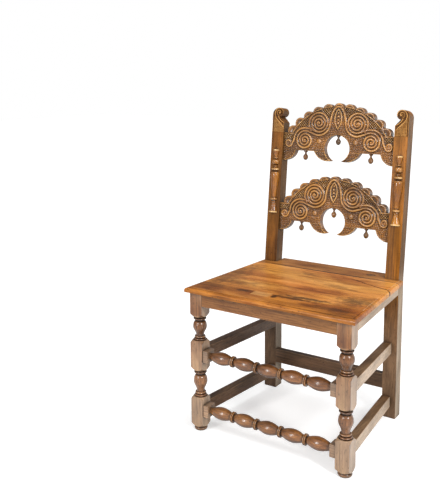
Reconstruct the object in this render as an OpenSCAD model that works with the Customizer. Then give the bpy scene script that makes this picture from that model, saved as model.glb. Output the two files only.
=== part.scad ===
// Joined side chair with a raked back, two pierced and scalloped back rails,
// turned front legs and a plank seat. Millimetres, +Z up, the front faces -Y.
// The origin is on the floor, under the middle of the chair's width and depth.

/* [Plan and heights] */
// Width across the outer faces of the front legs
front_w = 520; // [480:1:560]
// Width across the outer faces of the back posts
back_w = 474; // [440:1:500]
// From the front faces of the legs to the front faces of the posts
leg_to_post = 402; // [370:1:430]
// Height of the seat's top
seat_h = 450; // [430:1:480]
// Rake of the back above the seat, in degrees
rake = 6.1; // [3:0.1:8]

/* [Front legs] */
// Side of the square leg
leg_w = 42.5; // [41:0.5:46]
// Height of the bun foot
foot_h = 12; // [10:0.5:14]
// Diameter of the bun foot
foot_d = 40.5; // [37:0.5:41]
// Height of the groove above the bun foot
foot_groove_h = 2; // [1.5:0.5:4]
// Height of the lower square block
low_block_h = 94; // [88:1:98]
// Height of the lower turned stretch
low_turn_h = 84; // [80:1:90]
// Height of the middle square block
mid_block_h = 94; // [90:1:100]
// Height of the upper turned stretch
top_turn_h = 73.5; // [70:0.5:78]
// Diameter of the pear-shaped bulb
leg_bulb_d = 42; // [36:0.5:42]
// Diameter of the necks above and below the bulb
leg_neck_d = 23.4; // [20:0.2:26]
// Diameter of the collar above the bulb
leg_collar_d = 38.6; // [34:0.2:40]
// Diameter of the ring below the bulb
leg_ring_d = 34; // [30:0.5:38]

/* [Back posts] */
// Width of a post, across the chair
post_w = 44; // [41:0.5:48]
// Depth of a post, front to back
post_d = 41; // [38:0.5:45]
// Length of the raked part of a post, up to the top of its scroll
post_rise = 520; // [505:1:535]
// Radius of the scroll on top of a post
scroll_r = 15.5; // [13:0.5:17]

/* [Seat] */
// Thickness of the seat boards
seat_t = 15; // [13:0.5:18]
// Overhang of the seat past the front faces of the legs
seat_over_front = 11; // [6:1:16]
// Overhang of the seat past the sides of the legs and posts
seat_over_side = 12; // [9:1:16]
// Overhang of the seat behind the posts
seat_over_back = 15; // [5:1:20]
// Reach of the seat's ears past the faces of the posts
seat_ear = 8; // [4:0.5:14]
// Width of the front board, from the seat's front edge
seat_front_board_w = 83; // [74:1:95]
// Width of the back board, forward from the faces of the posts
seat_back_board_w = 33; // [22:1:45]
// Radius of the thumb moulding round the seat's edge
thumb_r = 7.5; // [5:0.5:9]
// Step between the seat's top and its thumb moulding
thumb_step = 1.5; // [1:0.5:3]
// Length of the patch let into the front board
patch_l = 60; // [40:1:80]
// Width of the patch let into the front board
patch_w = 34; // [20:1:40]
// Depth of the patch let into the front board
patch_t = 6; // [4:0.5:8]
// Diameter of the peg in the back board
seat_peg_d = 11; // [8:0.5:13]

/* [Seat rails] */
// Thickness of the rails under the seat
rail_t = 22; // [20:0.5:24]
// Height of the front rail
front_rail_h = 39.5; // [34:0.5:44]
// Height of the side rails and the back rail
side_rail_h = 32; // [28:0.5:38]

/* [Stretchers] */
// Thickness of the side stretchers
side_stretcher_t = 27; // [24:0.5:28]
// Height of the side stretchers
side_stretcher_h = 35; // [30:0.5:38]
// Middle height of the upper right side stretcher at its front end
right_upper_z = 249.5; // [236:0.5:254]
// Middle height of the lower right side stretcher at its front end
right_lower_z = 74.5; // [60:0.5:78]
// Drop of the right side stretchers from front to back
right_fall = 20; // [0:1:24]
// Middle height of the upper left side stretcher
left_upper_z = 238; // [232:0.5:248]
// Middle height of the lower left side stretcher
left_lower_z = 64.5; // [58:0.5:72]
// Height of the back stretcher
back_stretcher_h = 47.5; // [40:0.5:52]
// Middle height of the back stretcher
back_stretcher_z = 116; // [112:0.5:130]
// Thickness of the back stretcher
back_stretcher_t = 22; // [20:0.5:24]
// Side of the square ends of the turned front stretchers
front_end_w = 37; // [33:0.5:39]
// Length of the square ends of the turned front stretchers
front_end_l = 18; // [14:0.5:24]
// Middle height of the upper front stretcher
front_upper_z = 240; // [236:0.5:246]
// Middle height of the lower front stretcher
front_lower_z = 67.5; // [62:0.5:72]
// Number of bulbs turned on a front stretcher
bulbs = 5; // [3:1:7]
// Diameter of a bulb
bulb_d = 38; // [34:0.5:40]
// Diameter of the double ring between two bulbs
ring_d = 33; // [28:0.5:36]
// Width of the double ring, along the stretcher
ring_w = 9; // [7:0.5:11]
// Diameter of the neck beside a ring
neck_d = 20; // [17:0.5:24]

/* [Arched back rails] */
// Thickness of an arched rail without its raised carving
arch_t = 21; // [18:0.5:23]
// Set-back of an arched rail's face from the faces of the posts
arch_setback = 9.5; // [6:0.5:12]
// Height of the raised carving
relief = 3; // [2:0.25:4]
// From the top of the posts down to the crest rail's straight lower edge
crest_down = 140.4; // [136:0.1:146]
// Distance between the crest rail and the lower arched rail
arch_pitch = 236.5; // [225:0.5:240]
// Number of scallops on an arched rail
scallops = 11; // [9:2:13]
// Radius of the arc that the scallops stand on
scallop_arc_r = 211.5; // [205:0.5:218]
// Angle from one scallop to the next
scallop_step = 10; // [9:0.25:10.5]
// Radius of a scallop
scallop_r = 18.5; // [16:0.5:20]
// Height of the centre of the topmost scallop above the rail's lower edge
scallop_top = 140; // [134:0.5:146]
// Depth of the valleys between the scallops
scallop_depth = 11.5; // [8:0.5:14]
// Radius of the round piercing
piercing_r = 43.5; // [38:0.5:46]
// Height of the piercing's centre above the rail's lower edge
piercing_z = 11.5; // [8:0.5:16]
// Radius of the outer edge of the horns beside the piercing
horn_r = 53.5; // [50:0.5:56]
// Radius of the brackets at the posts
bracket_r = 42; // [36:0.5:46]
// Height of the rail's shoulder at the posts, above its lower edge
shoulder_z = 58; // [50:0.5:64]

/* [Carved scrolls] */
// Outer radius of the large scrolls, at the middle of their band
large_scroll_r = 37; // [34:0.5:38]
// Outer radius of the small scrolls, at the middle of their band
small_scroll_r = 30.5; // [28:0.5:31]
// Outer radius of the scrolls beside the posts, at the middle of their band
end_scroll_r = 12.5; // [11:0.5:13]
// Distance between two turns of a large or small scroll
scroll_pitch = 10; // [9:0.1:11]
// Distance between two turns of a scroll beside a post
end_pitch = 6.5; // [6:0.1:7]
// Width of a carved band
band_w = 5.2; // [4:0.1:6]
// Width of the groove cut in the scroll on each post
groove_w = 3.2; // [2.6:0.1:3.6]
// Radius of the eye in the middle of a scroll
eye_r = 3.6; // [3:0.1:4]
// Radius of the arc that borders the carving
border_r = 192; // [188:0.5:194]
// Width of the ridge along that arc
border_w = 2.4; // [2:0.1:3]
// Height of the border, the leaf's rim and its beads
low_relief = 2; // [1:0.25:2.5]
// Depth of the hollow in each scallop, and of the groove in each post
hollow_t = 1.5; // [1:0.25:2]
// Radius of the hollow in each scallop
hollow_r = 9; // [7:0.5:11]
// Diameter of the bosses
boss_d = 17; // [14:0.5:19]

/* [Turned drops and split spindles] */
// Length of a drop below the rail
drop_h = 31; // [26:0.5:36]
// Diameter of a drop's bulb
drop_d = 18.5; // [15:0.5:20]
// Diameter of a drop's pin
drop_pin_d = 5; // [4:0.5:6]
// Length of a drop's pin
drop_pin_l = 9; // [6:0.5:11]
// Diameter of the neck above a drop's bulb
drop_neck_d = 6.4; // [5:0.2:8]
// Diameter of the collar on top of a drop
drop_collar_d = 12.6; // [10:0.2:15]
// Length of a split spindle
spindle_h = 213; // [200:1:222]
// Lower end of the split spindles, up the rake from the seat's top
spindle_s = 166; // [155:1:172]
// Largest radius of a split spindle
spindle_r = 15.2; // [13:0.2:17]

/* [Joints] */
// Thickness of the tenons
tenon_t = 8; // [6:0.5:9]
// Depth of the mortises for the rails and side stretchers
tenon_l = 20; // [16:0.5:21]
// Depth of the mortises for the turned front stretchers and the arched rails
short_tenon_l = 15; // [12:0.5:16]
// Shoulder above and below a tenon
tenon_shoulder = 5; // [3:0.5:7]
// Clearance round a tenon, a pin or the peg
fit_gap = 0.15; // [0.05:0.05:0.3]
// Space past the end of a tenon or a pin
end_gap = 1; // [0.5:0.5:2]

/* [Hidden] */
$fn = 64;

LEFT = -1;
RIGHT = 1;
MIDDLE = 1; // the middle one of the drops 0, 1 and 2
cut = 1; // how far a cutting tool runs past the face it cuts
arc_steps = 6; // straight steps in the quarter of a turned curve
spiral_steps = 20; // straight steps in a turn of a carved scroll

oak_golden = "#b07f45";
oak_brown = "#8a5a2e";
oak_dark = "#5c4633";
oak_grey = "#a88a6c";

// Heights of the front leg's stretches, at the middle of its faces
low_block_z = foot_h + foot_groove_h;
low_turn_z = low_block_z + low_block_h;
mid_block_z = low_turn_z + low_turn_h;
top_turn_z = mid_block_z + mid_block_h;
top_block_z = top_turn_z + top_turn_h;
frame_h = seat_h - seat_t;

// Past the corners of the square leg, so the turned profile leaves them whole
billet_r = leg_w * 0.72;

// Half widths to the outer and inner faces
leg_out = front_w / 2;
leg_in = leg_out - leg_w;
post_out = back_w / 2;
post_in = post_out - post_w;

// The chair's depth, which places the origin
back_reach = leg_to_post + post_d * cos(rake) + post_rise * sin(rake);
y_mid = (back_reach - seat_over_front) / 2;

// The seat's joints and edges, from the front faces of the legs
front_joint_y = seat_front_board_w - seat_over_front;
back_joint_y = leg_to_post - seat_back_board_w;
ear_y = leg_to_post + seat_ear;
seat_back_y = leg_to_post + post_d + seat_over_back;
patch_x = -0.75 * patch_l;
seat_peg_x = 0.6 * post_out;
seat_peg_y = leg_to_post + rail_t / 2;
seat_peg_l = 2 * seat_t;

// Places on an arched rail, from the middle of its straight lower edge, as
// shares of the sizes above
arch_half = post_in;
arch_y = arch_setback + arch_t / 2;
arc_z = scallop_top - scallop_arc_r;
large_scroll = [0.345 * arch_half, 0.661 * scallop_top];
small_scroll = [0.601 * arch_half, 0.2535 * scallop_top];
end_scroll = [0.9067 * arch_half, 0.1714 * scallop_top];
boss = [0.3316 * arch_half, 0.2393 * scallop_top];
horn = [0.6056 * horn_r, 0.4224 * horn_r];
bracket = [arch_half - bracket_r / 12.7, bracket_r / 5.45];
border_z = 1.061 * scallop_top - border_r;
leaf_top = 1.02 * scallop_top;
leaf_bottom = 0.43 * scallop_top;
leaf_r = scallop_top / 2;
side_drop_x = 0.5933 * arch_half;
crest_lower = post_rise - crest_down;
second_lower = crest_lower - arch_pitch;

// The scroll on a post, from the post's inner face
scroll_x = 20;
scroll_s = post_rise - scroll_r;
neck_x = 17.5;
slope_s = post_rise - 49.3;

// Radius and length that the split spindle's profile is drawn at
spindle_drawn = [15.2, 213];

// Moves a piece from the front of the legs to the chair's origin
module from_leg_fronts() {
    translate([0, -y_mid, 0]) children();
}

// Turns a piece into the raked back, from the foot of the rake
module in_rake() {
    from_leg_fronts()
        translate([0, leg_to_post, seat_h])
            rotate([-rake, 0, 0]) children();
}

// Mirrors a piece for the left side
module on_side(side) {
    if (side == LEFT) mirror([1, 0, 0]) children();
    else children();
}

// Extrudes an outline drawn in X and Z from y to y + d
module face_extrude(y, d) {
    translate([0, y + d, 0])
        rotate([90, 0, 0])
            linear_extrude(d) children();
}

// Extrudes an outline drawn in Y and Z from x to x + w
module side_extrude(x, w) {
    translate([x, 0, 0])
        rotate([90, 0, 90])
            linear_extrude(w) children();
}

// Points of a bead of height h and outer radius r, centred at z
function bead(z, h, r) = [
    for (i = [-arc_steps / 2 : arc_steps / 2])
        let (a = i * 180 / arc_steps)
            [r - h / 2 + h / 2 * cos(a), z + h / 2 * sin(a)]
];

// Points that swell from radius r0 at z0 to radius r1 at z1 as a quarter
// ellipse, square to the axis at z0 and along it at z1
function swell(z0, r0, z1, r1) = [
    for (i = [0 : arc_steps])
        let (a = i * 90 / arc_steps)
            [r0 + (r1 - r0) * sin(a), z1 + (z0 - z1) * cos(a)]
];

// Points that taper from radius r0 at z0 to radius r1 at z1 as an ogee
function ogee(z0, r0, z1, r1) = [
    for (i = [0 : 2 * arc_steps])
        let (u = i / (2 * arc_steps))
            [(r0 + r1) / 2 + (r0 - r1) / 2 * cos(180 * u), z0 + (z1 - z0) * u]
];

function reversed(points) = [for (i = [len(points) - 1 : -1 : 0]) points[i]];

// Turned stretch of a leg: ring, groove, pear-shaped bulb, neck and collar
function leg_turning(z0, h) =
    let (
        s = h / 78,
        neck_r = leg_neck_d / 2,
        groove_r = neck_r + 2,
        bulb_r = leg_bulb_d / 2,
        bulb_z = z0 + 44 * s,
        z1 = z0 + h
    )
    concat(
        [[leg_w / 2, z0]],
        bead(z0 + 3 * s, 6 * s, leg_ring_d / 2 + 1.5),
        [[groove_r, z0 + 7 * s]],
        bead(z0 + 10.5 * s, 6 * s, leg_ring_d / 2 - 0.5),
        [[neck_r, z0 + 15 * s]],
        ogee(z0 + 16 * s, neck_r, bulb_z, bulb_r),
        reversed(swell(z0 + 63 * s, neck_r, bulb_z, bulb_r)),
        [[neck_r, z0 + 67 * s]],
        bead(z0 + 70.5 * s, 6 * s, leg_collar_d / 2),
        [[groove_r, z0 + 74 * s], [groove_r, z1], [leg_w / 2, z1]]
    );

// A block ends in a cone that cuts its four corners
function block_cone(z, up) = [
    [billet_r, z + (up ? 1 : -1) * (billet_r - leg_w / 2)]
];

module leg_profile() {
    groove_r = foot_d / 2 - foot_h / 2;
    polygon(concat(
        [[0, 0]],
        bead(foot_h / 2, foot_h, foot_d / 2),
        [[groove_r, low_block_z], [leg_w / 2, low_block_z]],
        block_cone(low_block_z, true),
        block_cone(low_turn_z, false),
        leg_turning(low_turn_z, low_turn_h),
        block_cone(mid_block_z, true),
        block_cone(top_turn_z, false),
        leg_turning(top_turn_z, top_turn_h),
        block_cone(top_block_z, true),
        [[billet_r, frame_h], [0, frame_h]]
    ));
}

// Front leg, turned from a square billet, with its six mortises
module front_leg(side) {
    from_leg_fronts() on_side(side) difference() {
        intersection() {
            translate([leg_out - leg_w / 2, leg_w / 2, 0])
                rotate_extrude() leg_profile();
            translate([leg_in, 0, 0])
                cube([leg_w, leg_w, frame_h]);
        }
        front_rail_solid(short_tenon_l + end_gap, fit_gap);
        front_stretcher_tenons(front_upper_z, short_tenon_l + end_gap, fit_gap);
        front_stretcher_tenons(front_lower_z, short_tenon_l + end_gap, fit_gap);
        side_rail_tenon(tenon_l + end_gap, fit_gap);
        side_stretcher_tenon(upper_z(side), fall(side), tenon_l + end_gap, fit_gap);
        side_stretcher_tenon(lower_z(side), fall(side), tenon_l + end_gap, fit_gap);
    }
}

function upper_z(side) = side == LEFT ? left_upper_z : right_upper_z;
function lower_z(side) = side == LEFT ? left_lower_z : right_lower_z;
function fall(side) = side == LEFT ? 0 : right_fall;

// Front outline of a post in the plane of the back, from its inner face at
// x = 0. It runs on below the seat, past the floor.
module post_outline() {
    dome_r = post_w - scroll_x;
    dome_s = post_rise - dome_r;
    polygon([
        [0, -2 * seat_h], [post_w, -2 * seat_h], [post_w, dome_s], [scroll_x, dome_s],
        [scroll_x, scroll_s], [neck_x, scroll_s - scroll_r], [0, slope_s]
    ]);
    intersection() {
        translate([scroll_x, dome_s]) circle(dome_r);
        translate([scroll_x, dome_s]) square(dome_r);
    }
    translate([scroll_x, scroll_s]) circle(scroll_r);
}

// Groove that winds into the scroll on the front of a post
module post_scroll_groove() {
    face_extrude(-cut, hollow_t + cut)
        band(
            spiral([scroll_x, scroll_s], -75, scroll_r - 3, eye_r, end_pitch, 1),
            groove_w
        );
}

// Side outline of a post: upright to the seat, raked above it
module post_side() {
    top = post_rise + cut;
    bend = seat_h - post_d * tan(rake / 2);
    polygon([
        [leg_to_post, 0],
        [leg_to_post + post_d, 0],
        [leg_to_post + post_d, bend],
        [
            leg_to_post + post_d * cos(rake) + top * sin(rake),
            seat_h - post_d * sin(rake) + top * cos(rake)
        ],
        [leg_to_post + top * sin(rake), seat_h + top * cos(rake)],
        [leg_to_post, seat_h]
    ]);
}

// Back post: square leg below the seat, raked above it, scrolled at the top
module back_post(side) {
    difference() {
        intersection() {
            from_leg_fronts() on_side(side)
                side_extrude(post_in - cut, post_w + 2 * cut) post_side();
            in_rake() on_side(side)
                translate([post_in, 0, 0])
                    face_extrude(-seat_h, 2 * seat_h) post_outline();
        }
        from_leg_fronts() on_side(side) {
            back_rail_solid(tenon_l + end_gap, fit_gap);
            back_stretcher_solid(tenon_l + end_gap, fit_gap);
            side_rail_tenon(tenon_l + end_gap, fit_gap);
            side_stretcher_tenon(upper_z(side), fall(side), tenon_l + end_gap, fit_gap);
            side_stretcher_tenon(lower_z(side), fall(side), tenon_l + end_gap, fit_gap);
        }
        in_rake() {
            arch_tenons(crest_lower, short_tenon_l + end_gap, fit_gap);
            arch_tenons(second_lower, short_tenon_l + end_gap, fit_gap);
            on_side(side) translate([post_in, 0, 0]) post_scroll_groove();
        }
    }
}

// Box centred on x = 0 that reaches half a width of hx each way
module crossing_box(hx, y, t, z, h) {
    translate([-hx, y - t / 2, z - h / 2]) cube([2 * hx, t, h]);
}

// Tenons of the front seat rail, as one bar of reach l past the legs' faces
module front_rail_solid(l, gap) {
    crossing_box(
        leg_in + l, rail_t / 2, tenon_t + 2 * gap,
        frame_h - front_rail_h / 2, front_rail_h - 2 * tenon_shoulder + 2 * gap
    );
}

module front_seat_rail() {
    color(oak_golden) from_leg_fronts() union() {
        crossing_box(leg_in, rail_t / 2, rail_t, frame_h - front_rail_h / 2, front_rail_h);
        front_rail_solid(short_tenon_l, 0);
    }
}

module back_rail_solid(l, gap) {
    crossing_box(
        post_in + l, leg_to_post + rail_t / 2, tenon_t + 2 * gap,
        frame_h - side_rail_h / 2, side_rail_h - 2 * tenon_shoulder + 2 * gap
    );
}

module back_seat_rail() {
    color(oak_dark) from_leg_fronts() difference() {
        union() {
            crossing_box(
                post_in, leg_to_post + rail_t / 2, rail_t,
                frame_h - side_rail_h / 2, side_rail_h
            );
            back_rail_solid(tenon_l, 0);
        }
        seat_peg_solid(seat_peg_l + end_gap, fit_gap);
    }
}

module back_stretcher_solid(l, gap) {
    crossing_box(
        post_in + l, leg_to_post + back_stretcher_t / 2, tenon_t + 2 * gap,
        back_stretcher_z, back_stretcher_h - 2 * tenon_shoulder + 2 * gap
    );
}

module back_stretcher() {
    color(oak_dark) from_leg_fronts() union() {
        crossing_box(
            post_in, leg_to_post + back_stretcher_t / 2, back_stretcher_t,
            back_stretcher_z, back_stretcher_h
        );
        back_stretcher_solid(tenon_l, 0);
    }
}

// Bar that runs back along the chair's right side. Its middle goes from
// [x0, z0] at the leg's back face to [x1, z1] at the post's front face.
module side_bar(x0, x1, z0, z1, y0, y1, t, h) {
    run = leg_to_post - leg_w;
    function mid_x(y) = x0 + (x1 - x0) * (y - leg_w) / run;
    function mid_z(y) = z0 + (z1 - z0) * (y - leg_w) / run;
    intersection() {
        linear_extrude(seat_h)
            polygon([
                [mid_x(y0) - t / 2, y0], [mid_x(y0) + t / 2, y0],
                [mid_x(y1) + t / 2, y1], [mid_x(y1) - t / 2, y1]
            ]);
        side_extrude(0, front_w)
            polygon([
                [y0, mid_z(y0) - h / 2], [y0, mid_z(y0) + h / 2],
                [y1, mid_z(y1) + h / 2], [y1, mid_z(y1) - h / 2]
            ]);
    }
}

module side_rail_bar(y0, y1, t, h) {
    z = frame_h - side_rail_h / 2;
    side_bar(leg_out - rail_t / 2, post_out - rail_t / 2, z, z, y0, y1, t, h);
}

module side_rail_tenon(l, gap) {
    side_rail_bar(
        leg_w - l, leg_to_post + l,
        tenon_t + 2 * gap, side_rail_h - 2 * tenon_shoulder + 2 * gap
    );
}

module side_rail(side) {
    from_leg_fronts() on_side(side) union() {
        side_rail_bar(leg_w, leg_to_post, rail_t, side_rail_h);
        side_rail_tenon(tenon_l, 0);
    }
}

// A side stretcher is set in from the leg's side and lies flush with the
// inner face of the post
module side_stretcher_bar(z, drop, y0, y1, t, h) {
    inset = 3.3;
    side_bar(
        leg_out - inset - side_stretcher_t / 2, post_in + side_stretcher_t / 2,
        z, z - drop, y0, y1, t, h
    );
}

module side_stretcher_tenon(z, drop, l, gap) {
    side_stretcher_bar(
        z, drop, leg_w - l, leg_to_post + l,
        tenon_t + 2 * gap, side_stretcher_h - 2 * tenon_shoulder + 2 * gap
    );
}

module side_stretcher(side, z) {
    from_leg_fronts() on_side(side) union() {
        side_stretcher_bar(
            z, fall(side), leg_w, leg_to_post, side_stretcher_t, side_stretcher_h
        );
        side_stretcher_tenon(z, fall(side), tenon_l, 0);
    }
}

module front_stretcher_tenons(z, l, gap) {
    crossing_box(
        leg_in + l, leg_w / 2, tenon_t + 2 * gap,
        z, front_end_w - 2 * tenon_shoulder + 2 * gap
    );
}

// Points of one olive-shaped bulb from x0 to x0 + l
function olive(x0, l) = [
    for (i = [0 : 2 * arc_steps])
        let (u = i / (2 * arc_steps))
            [neck_d / 2 + (bulb_d - neck_d) / 2 * sin(180 * u), x0 + l * u]
];

// Points of the double ring from x0 to x0 + ring_w
function double_ring(x0) = concat(
    bead(x0 + ring_w * 0.25, ring_w / 2, ring_d / 2),
    bead(x0 + ring_w * 0.75, ring_w / 2, ring_d / 2)
);

// Half profile of the turned stretch between the square ends, along x. It runs
// on a little way into both of them.
module stretcher_profile(half) {
    pitch = 2 * half / bulbs;
    bulb_l = pitch - ring_w;
    polygon(concat(
        [[0, -half - cut], [neck_d / 2, -half - cut]],
        [for (b = [0 : bulbs - 1])
            let (x0 = -half + b * pitch + ring_w / 2)
                each concat(
                    olive(x0, bulb_l),
                    b < bulbs - 1 ? double_ring(x0 + bulb_l) : []
                )],
        [[neck_d / 2, half + cut], [0, half + cut]]
    ));
}

module front_stretcher(z) {
    turned = leg_in - front_end_l;
    from_leg_fronts() union() {
        for (side = [LEFT, RIGHT])
            translate([side * (leg_in - front_end_l / 2), leg_w / 2, z])
                cube([front_end_l, front_end_w, front_end_w], center = true);
        translate([0, leg_w / 2, z])
            rotate([0, 90, 0])
                rotate_extrude() stretcher_profile(turned);
        for (side = [LEFT, RIGHT])
            translate([side * (leg_in + short_tenon_l / 2), leg_w / 2, z])
                cube([
                    short_tenon_l, tenon_t, front_end_w - 2 * tenon_shoulder
                ], center = true);
    }
}

// Half width of the seat at a distance y behind the faces of the legs
function seat_half(y) =
    leg_out + seat_over_side - (leg_out - post_out) * y / leg_to_post;

// Outline of the seat between two distances from the faces of the legs
module seat_slice(y0, y1) {
    polygon([
        [-seat_half(y0), y0], [seat_half(y0), y0],
        [seat_half(y1), y1], [-seat_half(y1), y1]
    ]);
}

// Cuts the thumb moulding along an edge of length l on the x axis, with the
// seat behind it at +y and its underside at z = 0
module thumb_cutter(l) {
    lower = seat_t - thumb_r - thumb_step;
    side_extrude(-l / 2, l)
        difference() {
            translate([-cut, lower]) square([thumb_r + thumb_step + cut, seat_t]);
            translate([thumb_r, lower]) circle(thumb_r);
            translate([thumb_r, lower]) square([thumb_step + cut, thumb_r]);
        }
}

module seat_edge_cutters() {
    taper = atan((leg_out - post_out) / leg_to_post);
    translate([0, -seat_over_front, 0]) thumb_cutter(2 * front_w);
    for (side = [LEFT, RIGHT]) on_side(side)
        translate([seat_half(0), 0, 0])
            rotate([0, 0, 90 + taper]) thumb_cutter(3 * leg_to_post);
}

module seat_board(y0, y1) {
    translate([0, 0, frame_h]) difference() {
        linear_extrude(seat_t) seat_slice(y0, y1);
        seat_edge_cutters();
    }
}

module patch_solid() {
    translate([patch_x - patch_l / 2, front_joint_y - patch_w, seat_h - patch_t])
        cube([patch_l, patch_w, patch_t + cut]);
}

module seat_front_board() {
    color(oak_golden) from_leg_fronts() difference() {
        seat_board(-seat_over_front, front_joint_y);
        patch_solid();
    }
}

module seat_patch() {
    color(oak_brown) from_leg_fronts()
        translate([patch_x - patch_l / 2, front_joint_y - patch_w, seat_h - patch_t])
            cube([patch_l, patch_w, patch_t]);
}

module seat_middle_board() {
    color(oak_golden) from_leg_fronts() seat_board(front_joint_y, back_joint_y);
}

module seat_peg_solid(l, gap) {
    translate([seat_peg_x, seat_peg_y, seat_h - l])
        cylinder(h = l + cut, d = seat_peg_d + 2 * gap);
}

// Back board, notched round the posts, with an ear outside each of them
module seat_back_board() {
    color(oak_golden) from_leg_fronts() difference() {
        union() {
            seat_board(back_joint_y, ear_y);
            translate([-post_in + fit_gap, ear_y, frame_h])
                cube([2 * (post_in - fit_gap), seat_back_y - ear_y, seat_t]);
        }
        for (side = [LEFT, RIGHT]) on_side(side)
            translate([post_in - fit_gap, leg_to_post - fit_gap, frame_h - cut])
                cube([post_w + 2 * fit_gap, post_d, seat_t + 2 * cut]);
        seat_peg_solid(seat_peg_l, fit_gap);
    }
}

module seat_back_peg() {
    color(oak_dark) from_leg_fronts()
        translate([seat_peg_x, seat_peg_y, seat_h - seat_peg_l])
            cylinder(h = seat_peg_l, d = seat_peg_d);
}

// Outline of an arched rail, from the middle of its straight lower edge
module arch_outline() {
    body_r = scallop_arc_r + scallop_r - scallop_depth;
    difference() {
        union() {
            intersection() {
                translate([0, arc_z]) circle(body_r, $fn = 128);
                translate([-arch_half, 0]) square([2 * arch_half, scallop_top + 2 * scallop_r]);
            }
            for (centre = scallop_centres())
                translate(centre) circle(scallop_r);
            for (side = [LEFT, RIGHT]) {
                translate([side * (arch_half + bracket.x - bracket_r) / 2, shoulder_z / 2])
                    square([arch_half - bracket.x + bracket_r, shoulder_z], center = true);
                intersection() {
                    translate([side * bracket.x, bracket.y]) circle(bracket_r);
                    translate([-arch_half, -bracket_r]) square([2 * arch_half, 2 * bracket_r]);
                }
                intersection() {
                    translate([side * horn.x, horn.y]) circle(horn_r);
                    translate([side < 0 ? -arch_half : 0, -horn_r])
                        square([arch_half, horn_r + cut]);
                }
            }
        }
        translate([0, piercing_z]) circle(piercing_r);
    }
}

// Centres of the scallops, from left to right
function scallop_centres() = [
    for (i = [-(scallops - 1) / 2 : (scallops - 1) / 2])
        [
            scallop_arc_r * sin(i * scallop_step),
            arc_z + scallop_arc_r * cos(i * scallop_step)
        ]
];

// Points of a spiral about c, from radius r0 at angle a inward to radius r1
function spiral(c, a, r0, r1, pitch, turn) = [
    for (i = [0 : floor((r0 - r1) / pitch * spiral_steps)])
        let (b = a + turn * i * 360 / spiral_steps, r = r0 - pitch * i / spiral_steps)
            [c.x + r * cos(b), c.y + r * sin(b)]
];

// Points of an arc about c from angle a to angle b
function arc(c, r, a, b) =
    let (n = ceil(abs(b - a) * spiral_steps / 360))
    [for (i = [0 : n]) let (t = a + (b - a) * i / n) [c.x + r * cos(t), c.y + r * sin(t)]];

// Unit vector square to a path at its point i
function square_to(path, i) =
    let (a = path[max(i - 1, 0)], b = path[min(i + 1, len(path) - 1)])
    [a.y - b.y, b.x - a.x] / norm(b - a);

// Band of width w along a path
module band(path, w) {
    last = len(path) - 1;
    polygon(concat(
        [for (i = [0 : last]) path[i] + square_to(path, i) * w / 2],
        [for (i = [last : -1 : 0]) path[i] - square_to(path, i) * w / 2]
    ));
}

// From the rail's top past the leaf, under the large scroll and over the small
// scroll, into its middle
function lower_band() =
    let (near_r = large_scroll_r + 2.3)
    concat(
        [[-3, leaf_top + 4.5], [11, leaf_top - 1], [18.5, leaf_top - 13]],
        arc(large_scroll, near_r, 165, 285),
        spiral(small_scroll, 102, small_scroll_r, eye_r + 1, scroll_pitch, -1)
    );

// From under the large scroll over the small one, into the scroll at the post
function upper_band() =
    let (over_r = small_scroll_r + 9.3)
    concat(
        arc(large_scroll, large_scroll_r - 8.2, 275, 300),
        arc(small_scroll, over_r, 105, 0),
        spiral(end_scroll, 200, end_scroll_r, eye_r + 0.5, end_pitch, 1)
    );

// Pointed leaf between two heights, with sides of radius r
module leaf(z0, z1, r) {
    half = (z1 - z0) / 2;
    offset_x = sqrt(r * r - half * half);
    intersection() {
        translate([offset_x, (z0 + z1) / 2]) circle(r);
        translate([-offset_x, (z0 + z1) / 2]) circle(r);
    }
}

// Tall carving: the bands, the spirals and their eyes
module tall_carving() {
    for (side = [LEFT, RIGHT]) on_side(side) {
        band(lower_band(), band_w);
        band(upper_band(), band_w);
        band(
            spiral(large_scroll, -42, large_scroll_r, eye_r + 1, scroll_pitch, 1),
            band_w
        );
        translate(large_scroll) circle(eye_r);
        translate(small_scroll) circle(eye_r);
        translate(end_scroll) circle(eye_r);
    }
}

// Low carving: the border arc, the leaf's rim and the beads inside it
module low_carving() {
    rim = 7;
    beads = 4;
    band(arc([0, border_z], border_r, 32, 148), border_w);
    difference() {
        leaf(leaf_bottom, leaf_top, leaf_r);
        leaf(leaf_bottom + rim, leaf_top - rim, 0.84 * leaf_r);
    }
    for (i = [1 : beads])
        translate([0, leaf_bottom + (leaf_top - leaf_bottom) * (i + 0.3) / (beads + 1.6)])
            circle(eye_r);
}

// Raised carving: scrolls, bands and a boss each side of a pointed leaf
module arch_carving() {
    root = hollow_t + cut;
    face_extrude(arch_setback - relief, relief + root) tall_carving();
    face_extrude(arch_setback - low_relief, low_relief + root) low_carving();
    for (side = [LEFT, RIGHT])
        translate([side * boss.x, arch_setback + cut, boss.y])
            rotate([90, 0, 0])
                cylinder(h = relief + cut, d1 = boss_d + 2, d2 = boss_d - 4);
}

// Balls that sink a round hollow into the face of each scallop
module scallop_hollows() {
    ball_r = (hollow_r * hollow_r + hollow_t * hollow_t) / (2 * hollow_t);
    for (centre = scallop_centres())
        translate([centre.x, arch_setback + hollow_t - ball_r, centre.y])
            sphere(ball_r);
}

// Tenons of an arched rail whose straight lower edge is at s
module arch_tenons(s, l, gap) {
    h = shoulder_z - 2 * tenon_shoulder;
    translate([0, 0, s])
        crossing_box(
            arch_half + l, arch_y, tenon_t + 2 * gap,
            shoulder_z / 2, h + 2 * gap
        );
}

// Holes for the pins of a rail's three drops
module drop_holes() {
    for (place = drop_places())
        translate([place.x, arch_y, place.y - cut])
            cylinder(h = drop_pin_l + end_gap + cut, d = drop_pin_d + 2 * fit_gap);
}

// Where the left, middle and right drops meet the rail
function drop_places() = [
    [-side_drop_x, 0],
    [0, piercing_z + piercing_r],
    [side_drop_x, 0]
];

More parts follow.
